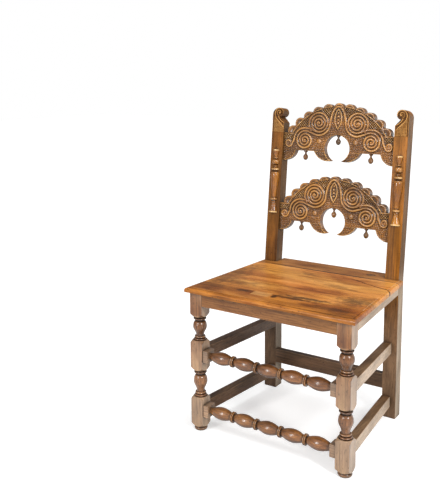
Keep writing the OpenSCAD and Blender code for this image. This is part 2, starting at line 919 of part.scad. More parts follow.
module arched_rail(s) {
    color(oak_brown) in_rake() {
        translate([0, 0, s]) difference() {
            union() {
                difference() {
                    face_extrude(arch_setback, arch_t) arch_outline();
                    scallop_hollows();
                }
                arch_carving();
            }
            drop_holes();
        }
        difference() {
            arch_tenons(s, short_tenon_l, 0);
            translate([0, arch_y, s + shoulder_z / 2])
                cube([2 * (arch_half - cut), 2 * arch_t, 2 * shoulder_z], center = true);
        }
    }
}

// Turned pendant drop under an arched rail, with its pin
module drop(s, which) {
    place = drop_places()[which];
    collar_r = drop_collar_d / 2;
    neck_r = drop_neck_d / 2;
    lift = which == MIDDLE ? sagitta(collar_r) : 0;
    pin_top = drop_pin_l + lift;
    bulb_z = drop_d / 2 - drop_h;
    color(oak_brown) in_rake()
        translate([place.x, arch_y, s + place.y - lift])
            rotate_extrude()
                polygon(concat(
                    [[0, pin_top], [drop_pin_d / 2, pin_top], [drop_pin_d / 2, 0]],
                    [[collar_r, 0], [collar_r, -collar_r / 3], [neck_r, -collar_r]],
                    ogee(-1.3 * collar_r, neck_r, bulb_z, drop_d / 2),
                    reversed(swell(-drop_h, 0, bulb_z, drop_d / 2))
                ));
}

// How far a flat collar of radius r stays below the top of the piercing
function sagitta(r) = piercing_r - sqrt(piercing_r * piercing_r - r * r);

// Half-round spindle on the face of a post
module split_spindle(side) {
    color(oak_golden) in_rake()
        translate([side * (post_in + post_w / 2), 0, spindle_s])
            intersection() {
                rotate_extrude()
                    scale([spindle_r / spindle_drawn.x, spindle_h / spindle_drawn.y])
                        spindle_profile();
                translate([-spindle_r - cut, -spindle_r - cut, 0])
                    cube([2 * (spindle_r + cut), spindle_r + cut, spindle_h]);
            }
}

// Profile of a split spindle, drawn at the size of spindle_drawn
module spindle_profile() {
    polygon(concat(
        [[0, 0], [spindle_drawn.x, 0], [spindle_drawn.x, 2]],
        ogee(3, 14, 31, 8.6),
        bead(36, 4, 9.5),
        bead(45, 10, 12),
        [[8.2, 52]],
        ogee(55, 8.2, 126, spindle_drawn.x),
        reversed(swell(138, 8.5, 128, spindle_drawn.x)),
        [[7.5, 140]],
        bead(146, 8, 13.6),
        [[6.6, 153], [6.6, 159]],
        bead(170, 18, 12.9),
        [[6, 181]],
        bead(184, 4, 7.4),
        ogee(187, 6, 209, 10.6),
        [[10.6, spindle_drawn.y], [0, spindle_drawn.y]]
    ));
}

module front_leg_left() { color(oak_grey) front_leg(LEFT); }
module front_leg_right() { color(oak_grey) front_leg(RIGHT); }
module back_post_left() { color(oak_brown) back_post(LEFT); }
module back_post_right() { color(oak_brown) back_post(RIGHT); }
module left_seat_rail() { color(oak_grey) side_rail(LEFT); }
module right_seat_rail() { color(oak_grey) side_rail(RIGHT); }
module upper_front_stretcher() { color(oak_brown) front_stretcher(front_upper_z); }
module lower_front_stretcher() { color(oak_brown) front_stretcher(front_lower_z); }
module left_upper_stretcher() { color(oak_dark) side_stretcher(LEFT, left_upper_z); }
module left_lower_stretcher() { color(oak_dark) side_stretcher(LEFT, left_lower_z); }
module right_upper_stretcher() { color(oak_grey) side_stretcher(RIGHT, right_upper_z); }
module right_lower_stretcher() { color(oak_grey) side_stretcher(RIGHT, right_lower_z); }
module crest_rail() { arched_rail(crest_lower); }
module lower_arched_rail() { arched_rail(second_lower); }

front_leg_left();
front_leg_right();
back_post_left();
back_post_right();
front_seat_rail();
back_seat_rail();
left_seat_rail();
right_seat_rail();
seat_front_board();
seat_middle_board();
seat_back_board();
seat_patch();
seat_back_peg();
upper_front_stretcher();
lower_front_stretcher();
left_upper_stretcher();
left_lower_stretcher();
right_upper_stretcher();
right_lower_stretcher();
back_stretcher();
crest_rail();
lower_arched_rail();
drop(crest_lower, 0);  // crest_drop_left
drop(crest_lower, 1);  // crest_drop_middle
drop(crest_lower, 2);  // crest_drop_right
drop(second_lower, 0);  // lower_drop_left
drop(second_lower, 1);  // lower_drop_middle
drop(second_lower, 2);  // lower_drop_right
split_spindle(LEFT);  // split_spindle_left
split_spindle(RIGHT);  // split_spindle_right
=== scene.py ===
"""The looks of a joined oak side chair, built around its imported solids.

Lengths are in millimetres while a piece is being made, and every piece is
scaled to metres when it is delivered. Two frames are used: the leg frame, with
Y = 0 at the front faces of the front legs, and the rake frame, which starts at
the foot of the raked back, with Z up the rake and Y = 0 at the posts' faces.
"""

import logging
import math
from collections.abc import Iterable, Sequence
from dataclasses import dataclass, replace
from enum import Enum

import bmesh
import bpy
import numpy as np
from mathutils import Matrix, Vector


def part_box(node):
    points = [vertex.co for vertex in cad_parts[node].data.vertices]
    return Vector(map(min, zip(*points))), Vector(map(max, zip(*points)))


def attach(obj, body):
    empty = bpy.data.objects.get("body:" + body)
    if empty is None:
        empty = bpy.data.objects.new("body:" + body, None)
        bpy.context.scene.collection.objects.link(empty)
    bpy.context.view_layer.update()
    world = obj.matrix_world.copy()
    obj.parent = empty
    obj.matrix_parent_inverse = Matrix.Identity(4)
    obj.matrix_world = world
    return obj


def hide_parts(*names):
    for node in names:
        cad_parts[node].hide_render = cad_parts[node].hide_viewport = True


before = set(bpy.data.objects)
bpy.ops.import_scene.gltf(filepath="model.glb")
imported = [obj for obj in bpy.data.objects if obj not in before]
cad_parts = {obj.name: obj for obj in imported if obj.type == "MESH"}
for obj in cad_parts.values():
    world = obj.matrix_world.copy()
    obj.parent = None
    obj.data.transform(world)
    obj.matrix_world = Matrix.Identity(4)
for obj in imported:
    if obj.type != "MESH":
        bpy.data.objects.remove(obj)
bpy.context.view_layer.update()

log = logging.getLogger("side_chair")

MM = 0.001
ROOT = "root"

# Attributes of a mesh's points: hollows from -1 to 1, and what hands polish
CAVITY = "cavity"
POLISH = "polish"

# Heights in metres round which the painted shade and the painted pale sheen of the right-hand
# faces end
SEAT_LEVEL = 0.445
ABOVE_ALL = 2.0

# Height of a carved ridge where there is none, far below every ground
BESIDE = -9.0

Array = np.ndarray
Point = tuple[float, float]
Place = tuple[float, float, float]
Tree = bpy.types.NodeTree
Socket = bpy.types.NodeSocket
Mesh = bmesh.types.BMesh


class Side(Enum):
    """The chair's two sides, as the sign of X."""

    LEFT = -1
    RIGHT = 1


class Grain(Enum):
    """Which way the grain runs, as the axis that it follows."""

    ACROSS = 0
    BACK = 1
    UP = 2
    RAKED = 3


@dataclass(frozen=True)
class Plan:
    """The chair's main sizes, in millimetres, the same as its solids have."""

    front_w: float = 520.0
    back_w: float = 474.0
    leg_w: float = 42.5
    post_w: float = 44.0
    leg_to_post: float = 402.0
    seat_h: float = 450.0
    rake_deg: float = 6.1

    def leg_frame(self) -> Matrix:
        """Matrix from the leg frame, in millimetres, to the chair in metres."""
        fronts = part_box("front_leg_left")[0].y
        return Matrix.Translation((0, fronts, 0)) @ Matrix.Scale(MM, 4)

    def rake_frame(self) -> Matrix:
        """Matrix from the rake frame, in millimetres, to the chair in metres."""
        lean = Matrix.Rotation(math.radians(-self.rake_deg), 4, "X")
        return self.leg_frame() @ Matrix.Translation((0, self.leg_to_post, self.seat_h)) @ lean

    def post_in(self) -> float:
        """Half the distance between the posts' inner faces."""
        return self.back_w / 2 - self.post_w


def linear(code: str) -> tuple[float, float, float, float]:
    """Turns an sRGB hex colour to the linear colour that shaders take.

    Args:
        code: The colour as "#rrggbb".

    Returns:
        Linear red, green and blue, and an alpha of 1.
    """
    parts = [int(code[i:i + 2], 16) / 255 for i in (1, 3, 5)]
    made = [c / 12.92 if c <= 0.04045 else ((c + 0.055) / 1.055) ** 2.4 for c in parts]
    return (made[0], made[1], made[2], 1.0)


def add_node(
    tree: Tree,
    kind: str,
    inputs: dict[int | str, object] | Sequence[object] = (),
    out: int | str = 0,
    **settings: object,
) -> Socket | None:
    """Adds a node with its settings, its constants and its links.

    Args:
        tree: The node tree to add to.
        kind: The node's type, without ShaderNode in front.
        inputs: Values by input name or number, or in order. A socket is linked.
        out: Name or number of the output that is wanted.
        **settings: Attributes to set on the node.

    Returns:
        The output, or None where the node has none.
    """
    node = tree.nodes.new(f"ShaderNode{kind}")
    for name, value in settings.items():
        setattr(node, name, value)
    for key, value in inputs.items() if isinstance(inputs, dict) else enumerate(inputs):
        if isinstance(value, Socket):
            tree.links.new(value, node.inputs[key])
        else:
            node.inputs[key].default_value = value
    return node.outputs[out] if node.outputs else None


def bare_tree(owner: bpy.types.Material | bpy.types.World) -> Tree:
    """Empties the node tree of a material or a world.

    Args:
        owner: The material or the world.

    Returns:
        The empty tree.
    """
    owner.use_nodes = True
    owner.node_tree.nodes.clear()
    return owner.node_tree


@dataclass(frozen=True)
class Marks:
    """Noise marks that lie along the grain, of a real size in millimetres."""

    along: float
    across: float
    detail: float
    low: float
    high: float
    tint: str = "#ffffff"


# Patches that took the stain differently
TONE = Marks(150, 42, 3.0, 0.3, 0.7)
# Bands of early and late wood
STREAK = Marks(190, 4.5, 3.0, 0.34, 0.66)
# Oak's pores are 0.3 mm wide, and are drawn coarser so that they show
PORES = Marks(16, 1.1, 2.0, 0.58, 0.72, "#5a4028")
# Long rows of pores
LINES = Marks(90, 2.2, 2.0, 0.52, 0.7, "#6b4a2e")
# Flecks where the rays of the wood come to the face
FLECKS = Marks(9, 5, 1.0, 0.66, 0.74, "#4a3220")
# Redder heartwood, old spills, and where an edge is rubbed at all
WARM = Marks(330, 90, 1.0, 0.4, 0.7, "#e0935a")
CLOUDS = Marks(130, 60, 4.0, 0.45, 0.62, "#9a6c40")
RUBBED = Marks(60, 20, 3.0, 0.3, 0.5)

# A wave of scale 1 repeats every 0.314 of a unit
WAVE_REPEAT = 0.314

# Metres from a piece to the heart of its tree, across the grain, and how much
# of a place along the grain counts towards the rings
HEART = (0.11, 0.13, 0.17)
RING_RUN = 0.14

# Where the darkest and the lightest wood lie on the ramp, and how much rougher
# than its finish the one is, and smoother the other
RAMP_ENDS = (0.12, 0.88)
ROUGHER, SMOOTHER = 0.07, 0.06

# The share of its ageing, and of the painted shade and sheen on right-hand faces,
# that polished wood shows, and how far to the right a face has to look before it
# gets the painted shade and sheen of the right-hand ones
POLISHED_AGE_AND_LIGHT = 0.15
RIGHT_FROM = 0.55

# Grey levels of dark and light grain, and how light each is once a tone is laid
# over it, for age and for painted shade and sheen
GREY_RANGE = (0.02, 0.15)
AGED_AND_LIT_RANGE = (0.45, 1.25)

# Metres over which the painted shade and sheen of the right-hand faces end,
# either side of their height, and over which the greying comes in, below and
# above fade_from
BLEND = 0.05
FADE_BELOW, FADE_ABOVE = 0.25, 0.03

# What polish browns to, the colour of a stain and of painted shade, and how a ring's hole opens
POLISHED_TONE = "#bf8a48"
STAIN_AND_SHADE_TONE = "#3a2110"
RING_HOLE = (0.45, 0.75, 0.25, 1.0)

# A stain's edge is ragged 70 times in a metre, and the stain ends at this many
# times its half-width
RAGGED_PER_M = 70.0
STAIN_REACH = 1.1

# Where wear, with its painted highlight, starts and is full on an edge, and
# painted shade on an underside, and where the darkening in a corner, partly dirt
# and partly painted shade, is full and ends, with how far it reaches out of that
EDGE_RANGE = (-0.2, -1.0)
PAINTED_UNDER_SHADE_RANGE = (-0.15, -1.0)
CORNER_RANGE = (0.45, 0.92)
CORNER = 14 * MM

# A solid's points nearer than this, in millimetres, are one, and faces that
# turn less than this are one flat
WELD_MM = 0.004
FLAT_DEG = 0.4


@dataclass(frozen=True)
class StainAndShadeMark:
    """A darker mark on the wood, an ellipse in the leg frame's X and Y."""

    x: float
    y: float
    half_x: float
    half_y: float
    strength: float
    turn_deg: float = 0.0
    core: float = 0.1
    ragged: float = 1.6
    ring: bool = False


@dataclass(frozen=True)
class OakFinish:
    """Old European oak, hand-planed, stained brown and waxed for centuries.

    The wax gives a soft sheen, the pores and growth rings show as darker
    streaks along the grain, hollows hold dark wax, and edges are worn pale, which
    also paints a highlight on them. Undersides get painted shade, corners a
    darkening that is partly dirt and partly painted shade, and some finishes
    paint shade and a pale sheen onto the faces that look to the right.
    """

    name: str
    light: str
    mid: str
    dark: str
    grain: Grain
    offset: Place = (0.0, 0.0, 0.0)
    # Colours of dark wax, dirt and painted shade, and of worn edges that are partly a painted
    # highlight
    grime_and_shade: str = "#1f130a"
    worn_and_highlight: str = "#c9a074"
    ring_mm: float = 7.0
    ring_share: float = 0.3
    tone_share: float = 0.6
    blush: float = 0.15
    pores: float = 0.55
    roughness: float = 0.42
    specular: float = 0.3
    coat: float = 0.12
    coat_roughness: float = 0.28
    # Shares of the corner darkening (dirt and painted shade), dark wax in hollows, painted shade
    # on undersides, and wear with its painted highlight
    corner_dirt_and_shade: float = 0.75
    hollow_dirt: float = 0.85
    under: float = 0.6
    wear_and_highlight: float = 0.5
    bump_mm: float = 0.35
    faded: str = "#8b7763"
    fade_share: float = 0.0
    fade_from: float = 0.43
    polish_share: float = 0.0
    # Painted shade, then a painted pale sheen, on the faces that look to the right
    shaded: str = "#5b4632"
    shade_share: float = 0.0
    painted_right_sheen: str = "#bfae9c"
    painted_sheen_share: float = 0.0
    clouds: float = 0.0
    stains_and_shade: tuple[StainAndShadeMark, ...] = ()

    def material(self) -> bpy.types.Material:
        """Makes the finish's material, or returns it if it is made already.

        Returns:
            The material.
        """
        known = bpy.data.materials.get(self.name)
        if known is not None:
            return known
        made = bpy.data.materials.new(self.name)
        tree = bare_tree(made)
        colour, rough, bump = self._wood(tree)
        grey = add_node(tree, "RGBToBW", (colour,))
        light = add_node(tree, "MapRange", (grey, *GREY_RANGE, *AGED_AND_LIT_RANGE))
        # Painted shade on right-hand faces, where a finish has it
        colour = self._on_right(tree, colour, light, self.shaded, self.shade_share, ABOVE_ALL)
        colour = self._faded(tree, colour, light)
        # A painted pale sheen on right-hand faces below the seat
        colour = self._on_right(tree, colour, light, self.painted_right_sheen, self.painted_sheen_share, SEAT_LEVEL)
        colour = self._marked(tree, colour)
        colour = self._patina(tree, colour)
        shader = add_node(tree, "BsdfPrincipled", {
            "Base Color": colour,
            "Roughness": rough,
            "Normal": bump,
            "IOR": 1.5,
            "Specular IOR Level": self.specular,
            "Coat Weight": self.coat,
            "Coat Roughness": self.coat_roughness,
            "Coat IOR": 1.45,
        })
        add_node(tree, "OutputMaterial", {"Surface": shader})
        return made

    def _axis(self) -> int:
        """The axis that the grain follows, once a raked piece is set upright."""
        return Grain.UP.value if self.grain is Grain.RAKED else self.grain.value

    def _noise(self, tree: Tree, place: Socket, marks: Marks) -> Socket:
        """Draws noise marks, stretched to 0 to 1.

        Args:
            tree: The material's node tree.
            place: Coordinates in metres, with the grain on its own axis.
            marks: Their size and contrast.

        Returns:
            The stretched value.
        """
        scale = [1 / (marks.across * MM)] * 3
        scale[self._axis()] = 1 / (marks.along * MM)
        scaled = add_node(tree, "VectorMath", (place, scale), operation="MULTIPLY")
        noise = add_node(tree, "TexNoise", {
            "Vector": scaled, "Scale": 1.0, "Detail": marks.detail, "Roughness": 0.55
        })
        return add_node(tree, "MapRange", (noise, marks.low, marks.high, 0.0, 1.0))

    def _rings(self, tree: Tree, place: Socket) -> Socket:
        """Draws growth rings of a tree whose heart lies outside the piece.

        Args:
            tree: The material's node tree.
            place: Coordinates in metres, with the grain on its own axis.

        Returns:
            The rings, from 0 to 1.
        """
        axis = self._axis()
        stretch, heart = [1.0, 1.0, 1.0], list(HEART)
        stretch[axis], heart[axis] = RING_RUN, 0.0
        around = add_node(tree, "VectorMath", (place, stretch, heart), operation="MULTIPLY_ADD")
        return add_node(
            tree,
            "TexWave",
            {
                "Vector": around,
                "Scale": WAVE_REPEAT / (self.ring_mm * MM),
                "Distortion": 5.0,
                "Detail": 3.0,
                "Detail Scale": 0.12,
                "Detail Roughness": 0.6,
            },
            "Fac",
            wave_type="RINGS",
            rings_direction="XYZ"[axis],
        )

    def _wood(self, tree: Tree) -> tuple[Socket, Socket, Socket]:
        """Makes the wood itself.

        Args:
            tree: The material's node tree.

        Returns:
            Its colour, roughness and bump.
        """
        lean = math.radians(Plan().rake_deg) if self.grain is Grain.RAKED else 0.0
        place = add_node(tree, "Mapping", {
            "Vector": add_node(tree, "TexCoord", out="Object"),
            "Location": self.offset,
            "Rotation": (lean, 0.0, 0.0),
        })
        tone, streak, pores = (self._noise(tree, place, m) for m in (TONE, STREAK, PORES))
        share = self._rings(tree, place)
        for other, part in ((streak, 1 - self.ring_share), (tone, self.tone_share)):
            share = add_node(tree, "Mix", {0: part, 2: share, 3: other}, data_type="FLOAT")
        colour = add_node(tree, "ValToRGB", (share,))
        ramp = colour.node.color_ramp
        ramp.elements[0].position, ramp.elements[1].position = RAMP_ENDS
        ramp.elements[0].color = linear(self.dark)
        ramp.elements[1].color = linear(self.light)
        ramp.elements.new(0.5).color = linear(self.mid)
        for marks, strength in (
            (WARM, self.blush),
            (CLOUDS, self.clouds),
            (LINES, self.pores),
            (PORES, self.pores),
            (FLECKS, self.pores),
        ):
            where = pores if marks is PORES else self._noise(tree, place, marks)
            colour = self._tinted(tree, colour, where, strength, marks.tint)
        inputs = (tone, 0.0, 1.0, self.roughness + ROUGHER, self.roughness - SMOOTHER)
        rough = add_node(tree, "MapRange", inputs)
        ridge = add_node(tree, "Math", (streak, pores), operation="SUBTRACT")
        inputs = {"Strength": 0.5, "Distance": self.bump_mm * MM, "Height": ridge}
        return colour, rough, add_node(tree, "Bump", inputs)

    def _tinted(
        self, tree: Tree, colour: Socket, where: Socket, strength: float, tint: str
    ) -> Socket:
        """Multiplies a colour by a tint, as far as a value says.

        Args:
            tree: The material's node tree.
            colour: The colour to tint.
            where: 0 to 1, how much of the tint a place gets.
            strength: The most of it that any place gets.
            tint: The tint, as an sRGB hex colour.

        Returns:
            The tinted colour.
        """
        share = add_node(tree, "Math", (where, strength), operation="MULTIPLY")
        inputs = {0: share, 6: colour, 7: linear(tint)}
        return add_node(tree, "Mix", inputs, 2, data_type="RGBA", blend_type="MULTIPLY")

    def _over(
        self, tree: Tree, colour: Socket, share: Socket, top: Socket | Sequence[float]
    ) -> Socket:
        """Lays a share of another colour over a colour."""
        return add_node(tree, "Mix", {0: share, 6: colour, 7: top}, 2, data_type="RGBA")

    def _height(self, tree: Tree) -> Socket:
        """Height above the floor, in metres."""
        coords = add_node(tree, "TexCoord", out="Object")
        return add_node(tree, "SeparateXYZ", (coords,), "Z")

    def _facing(self, tree: Tree, axis: str) -> Socket:
        """How far a face looks along an axis, from -1 to 1."""
        normal = add_node(tree, "NewGeometry", out="Normal")
        return add_node(tree, "SeparateXYZ", (normal,), axis)

    def _toned_for_age_and_light(
        self, tree: Tree, colour: Socket, light: Socket, share: Socket, tone: str
    ) -> Socket:
        """Lays a tone over the wood, for age and for painted shade and sheen, but keeps its
        streaks and its polished parts.

        Args:
            tree: The material's node tree.
            colour: The colour to change.
            light: The grain's own lightness, about 1 on its lighter streaks.
            share: How much of the tone a place gets.
            tone: The tone, as an sRGB hex colour.

        Returns:
            The changed colour.
        """
        polish = add_node(tree, "Attribute", out="Fac", attribute_name=POLISH)
        dull = add_node(tree, "MapRange", (polish, 0.0, 1.0, 1.0, POLISHED_AGE_AND_LIGHT))
        share = add_node(tree, "Math", (share, dull), operation="MULTIPLY")
        inputs = {0: linear(tone)[:3], "Scale": light}
        aged = add_node(tree, "VectorMath", inputs, operation="SCALE")
        return self._over(tree, colour, share, aged)

    def _faded(self, tree: Tree, colour: Socket, light: Socket) -> Socket:
        """Greys the wood towards the floor, and browns what hands polish.

        Args:
            tree: The material's node tree.
            colour: The colour to change.
            light: The grain's own lightness.

        Returns:
            The changed colour.
        """
        if not self.fade_share:
            return colour
        polish = add_node(tree, "Attribute", out="Fac", attribute_name=POLISH)
        colour = self._tinted(tree, colour, polish, self.polish_share, POLISHED_TONE)
        low, high = self.fade_from - FADE_BELOW, self.fade_from + FADE_ABOVE
        inputs = (self._height(tree), low, high, self.fade_share, 0.0)
        share = add_node(tree, "MapRange", inputs, interpolation_type="SMOOTHSTEP")
        return self._toned_for_age_and_light(tree, colour, light, share, self.faded)

    def _on_right(
        self, tree: Tree, colour: Socket, light: Socket, tone: str, most: float, top: float
    ) -> Socket:
        """Lays a tone of their own on the faces that look to the right: painted shade in one use,
        a painted pale sheen in the other.

        Args:
            tree: The material's node tree.
            colour: The colour to change.
            light: The grain's own lightness.
            tone: The tone, as an sRGB hex colour.
            most: Its share on a face that looks straight to the right.
            top: Height in metres round which the change ends.

        Returns:
            The changed colour.
        """
        if not most:
            return colour
        inputs = (self._facing(tree, "X"), RIGHT_FROM, 1.0, 0.0, most)
        share = add_node(tree, "MapRange", inputs)
        inputs = (self._height(tree), top - BLEND, top + BLEND, 1.0, 0.0)
        below = add_node(tree, "MapRange", inputs, interpolation_type="SMOOTHSTEP")
        share = add_node(tree, "Math", (share, below), operation="MULTIPLY")
        return self._toned_for_age_and_light(tree, colour, light, share, tone)

    def _marked(self, tree: Tree, colour: Socket) -> Socket:
        """Adds the stains, and the painted shade at the seat's left end, each an ellipse with a
        ragged edge.

        Args:
            tree: The material's node tree.
            colour: The colour to change.

        Returns:
            The changed colour.
        """
        if not self.stains_and_shade:
            return colour
        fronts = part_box("front_leg_left")[0].y
        coords = add_node(tree, "TexCoord", out="Object")
        inputs = {"Vector": coords, "Scale": RAGGED_PER_M, "Detail": 3.0}
        ragged = add_node(tree, "TexNoise", inputs)
        for mark in self.stains_and_shade:
            inputs = {
                "Vector": coords,
                "Location": (mark.x * MM, fronts + mark.y * MM, 0.0),
                "Rotation": (0.0, 0.0, math.radians(mark.turn_deg)),
                "Scale": (mark.half_x * MM, mark.half_y * MM, 1e6),
            }
            centred = add_node(tree, "Mapping", inputs, vector_type="TEXTURE")
            far = add_node(tree, "VectorMath", (centred,), "Value", operation="LENGTH")
            inputs = (ragged, mark.ragged, far)
            uneven = add_node(tree, "Math", inputs, operation="MULTIPLY_ADD")
            middle = 0.5 * mark.ragged
            inputs = (uneven, middle + mark.core, middle + STAIN_REACH, mark.strength, 0.0)
            share = add_node(tree, "MapRange", inputs, interpolation_type="SMOOTHSTEP")
            if mark.ring:
                inputs = (far, *RING_HOLE)
                hole = add_node(tree, "MapRange", inputs, interpolation_type="SMOOTHSTEP")
                share = add_node(tree, "Math", (share, hole), operation="MULTIPLY")
            colour = self._over(tree, colour, share, linear(STAIN_AND_SHADE_TONE))
        return colour

    def _patina(self, tree: Tree, colour: Socket) -> Socket:
        """Adds worn edges that are partly a painted highlight, dark wax in hollows,
        painted shade on undersides, and a darkening in corners by ambient occlusion
        that is partly dirt and partly painted shade.

        Args:
            tree: The material's node tree.
            colour: The colour to change.

        Returns:
            The changed colour.
        """
        cavity = add_node(tree, "Attribute", out="Fac", attribute_name=CAVITY)
        # Worn edges and crowns: partly wear, partly a painted highlight
        worn_and_highlight = add_node(tree, "MapRange", (cavity, *EDGE_RANGE, 0.0, self.wear_and_highlight))
        rubbed = self._noise(tree, add_node(tree, "TexCoord", out="Object"), RUBBED)
        worn_and_highlight = add_node(tree, "Math", (worn_and_highlight, rubbed), operation="MULTIPLY")
        colour = self._over(tree, colour, worn_and_highlight, linear(self.worn_and_highlight))
        corner = add_node(tree, "AmbientOcclusion", {"Distance": CORNER}, "AO", samples=6)
        for inputs in (
            (cavity, 0.0, 1.0, 0.0, self.hollow_dirt),
            # Painted shade on the undersides
            (self._facing(tree, "Z"), *PAINTED_UNDER_SHADE_RANGE, 0.0, self.under),
            # Corners found by ambient occlusion: partly dirt, partly painted shade
            (corner, *CORNER_RANGE, self.corner_dirt_and_shade, 0.0),
        ):
            share = add_node(tree, "MapRange", inputs)
            colour = self._over(tree, colour, share, linear(self.grime_and_shade))
        return colour


# Waxed by hands above and scuffed by feet below: brown, shiny bulbs between
# blocks that turn dry and pale towards the floor, and a painted pale sheen on
# the faces that look to the right
LEG_OAK = OakFinish(
    "waxed_oak_legs", "#9c6634", "#7c4d25", "#553315", Grain.UP, (0.013, 0.0, 0.04),
    wear_and_highlight=0.5, corner_dirt_and_shade=0.85, hollow_dirt=0.65, roughness=0.38, coat=0.8, coat_roughness=0.13,
    bump_mm=0.15, pores=0.75, clouds=0.4, faded="#b3967a", fade_share=0.74, fade_from=0.36,
    polish_share=0.06, painted_right_sheen="#c2ab94", painted_sheen_share=0.5,
)
# A thin old wax on planed oak: amber fronts with hardly a highlight, right
# faces with painted shade above the seat and a painted pale sheen below it, and
# worn edges that are partly a painted highlight
POST_OAK = OakFinish(
    "waxed_oak_posts", "#a86920", "#825010", "#5b3608", Grain.RAKED, (0.07, 0.02, 0.0),
    worn_and_highlight="#cf9c5c", wear_and_highlight=0.8, hollow_dirt=0.4, corner_dirt_and_shade=0.4, roughness=0.46, specular=0.15,
    coat=0.04, shaded="#5a4022", shade_share=0.85, painted_right_sheen="#a8957f", painted_sheen_share=0.7,
    faded="#735c48", fade_share=0.85, fade_from=0.45,
)
# The same finish in browner, darker tones, which makes the left post the darker one
LEFT_POST_OAK = replace(
    POST_OAK, name="waxed_oak_left_post", light="#8f5a20", mid="#6e4412", dark="#4b2c0a",
    offset=(0.19, 0.05, 0.0), faded="#5f4c3c",
)
# Planed and waxed: an even golden brown with straight streaks
FRONT_RAIL_OAK = OakFinish(
    "waxed_oak_front_rail", "#a3713f", "#875a30", "#694122", Grain.ACROSS, (0.0, 0.05, 0.01)
)
# Planed and never polished: a dry grey-brown, with a painted pale sheen on the
# faces that look to the right
SIDE_OAK = OakFinish(
    "dry_oak_sides_painted_sheen", "#967654", "#7a5c3f", "#5c432c", Grain.BACK, (0.0, 0.0, 0.03),
    painted_right_sheen="#c4ae96", painted_sheen_share=0.7,
)
# Planed and left bare at the rear: dull, and nearly black-brown with age
DARK_OAK = OakFinish(
    "dark_oak_rear", "#6f523a", "#56402c", "#3b2a1c", Grain.ACROSS, (0.0, 0.03, 0.06)
)
# The same bare oak on the left side, a shade lighter
DARK_SIDE_OAK = OakFinish(
    "dark_oak_left", "#77593f", "#5e452f", "#433020", Grain.BACK, (0.02, 0.0, 0.05)
)
# The joint at the back board shows as a dark line on both boards
JOINT = StainAndShadeMark(10, 369, 255, 4.6, 1.0, 0.0, 0.75, 0.25)
# Polished by sitters: orange-gold with a soft gloss, clouds of old spills, a
# dark line along the split, worn edges that are partly a painted highlight, and
# painted shade over the left end
SEAT_OAK = OakFinish(
    "polished_oak_seat", "#e6a85a", "#d09043", "#9d6328", Grain.ACROSS, (0.03, 0.0, 0.0),
    worn_and_highlight="#e8b877", wear_and_highlight=0.8, roughness=0.36, specular=0.2, coat=0.16, coat_roughness=0.16,
    blush=0.45, corner_dirt_and_shade=0.6, clouds=0.5,
    stains_and_shade=(
        StainAndShadeMark(85, 82, 100, 15, 0.85, 1.0, 0.3),
        StainAndShadeMark(215, 130, 75, 60, 0.8, 20.0, 0.0),
        StainAndShadeMark(-25, 315, 34, 16, 0.45),
        StainAndShadeMark(40, 162, 170, 3, 0.5, 1.0),
        StainAndShadeMark(-150, 120, 90, 30, 0.45, 10.0),
        StainAndShadeMark(120, 235, 80, 20, 0.4, -8.0),
        # Painted shade over the left end of the seat
        StainAndShadeMark(-225, 190, 60, 170, 0.6),
        StainAndShadeMark(140, 327, 46, 2.6, 0.95, -25.0, 0.5, 0.4),
        StainAndShadeMark(215, 296, 50, 2.6, 0.95, -20.0, 0.5, 0.4),
        StainAndShadeMark(262, 273, 16, 5, 0.95, -44.0, 0.5, 0.5),
        JOINT,
    ),
)
# The same polish on a redder board, with a hard dark mark beside the patch,
# worn edges that are partly a painted highlight, and painted shade at the left end
FRONT_BOARD_OAK = OakFinish(
    "polished_oak_front_board", "#cf883b", "#ab6a27", "#6f3f10", Grain.ACROSS,
    (0.11, 0.04, 0.0), worn_and_highlight="#e8b877", wear_and_highlight=0.8, corner_dirt_and_shade=0.45, roughness=0.36, specular=0.2,
    coat=0.16, coat_roughness=0.16, blush=0.2, clouds=0.6,
    stains_and_shade=(
        StainAndShadeMark(-108, 56, 30, 11, 0.8, 8.0, 0.3, 1.0),
        StainAndShadeMark(-2, 52, 11, 15, 0.95, 15.0, 0.5, 0.9),
        StainAndShadeMark(55, 64, 95, 12, 0.85, 0.0, 0.3),
        StainAndShadeMark(195, 40, 80, 26, 0.6),
        # Painted shade over the left end of the board
        StainAndShadeMark(-215, 55, 70, 55, 0.5),
    ),
)
# Less sat on, so browner and duller, with a knot that shows as a dark ring
BACK_BOARD_OAK = OakFinish(
    "polished_oak_back_board", "#c48746", "#a76e33", "#7b4f22", Grain.ACROSS,
    (0.21, 0.09, 0.0), roughness=0.36, specular=0.2, coat=0.16, coat_roughness=0.16,
    blush=0.2, clouds=0.5,
    stains_and_shade=(StainAndShadeMark(143, 413, 17, 14, 0.95, 0.0, 0.7, 0.3, True), JOINT),
)
# Younger oak, let in later: paler and cleaner than the board round it
PATCH_OAK = OakFinish(
    "polished_oak_patch", "#d6a05e", "#c28847", "#a06c33", Grain.ACROSS, (0.31, 0.0, 0.02),
    roughness=0.34, coat=0.25, coat_roughness=0.15,
)
# Burnished on the lathe: red-brown bulbs with soft highlights, dark necks, and
# painted shade on the undersides
TURNED_OAK = OakFinish(
    "turned_oak_stretchers", "#945b1f", "#6a3c12", "#3f2207", Grain.ACROSS,
    (0.0, 0.02, 0.0), worn_and_highlight="#c99355", wear_and_highlight=0.35, under=0.85, roughness=0.32, specular=0.4,
    coat=0.8, coat_roughness=0.21, bump_mm=0.08, faded="#a5866a", fade_share=0.8,
    fade_from=2.0,
)
# The same turning rubbed by shoes, which leaves the lower stretcher paler
LOW_TURNED_OAK = replace(
    TURNED_OAK, name="turned_oak_low_stretcher", light="#a36a2c", mid="#774718",
    dark="#47280e", offset=(0.08, 0.05, 0.0),
)
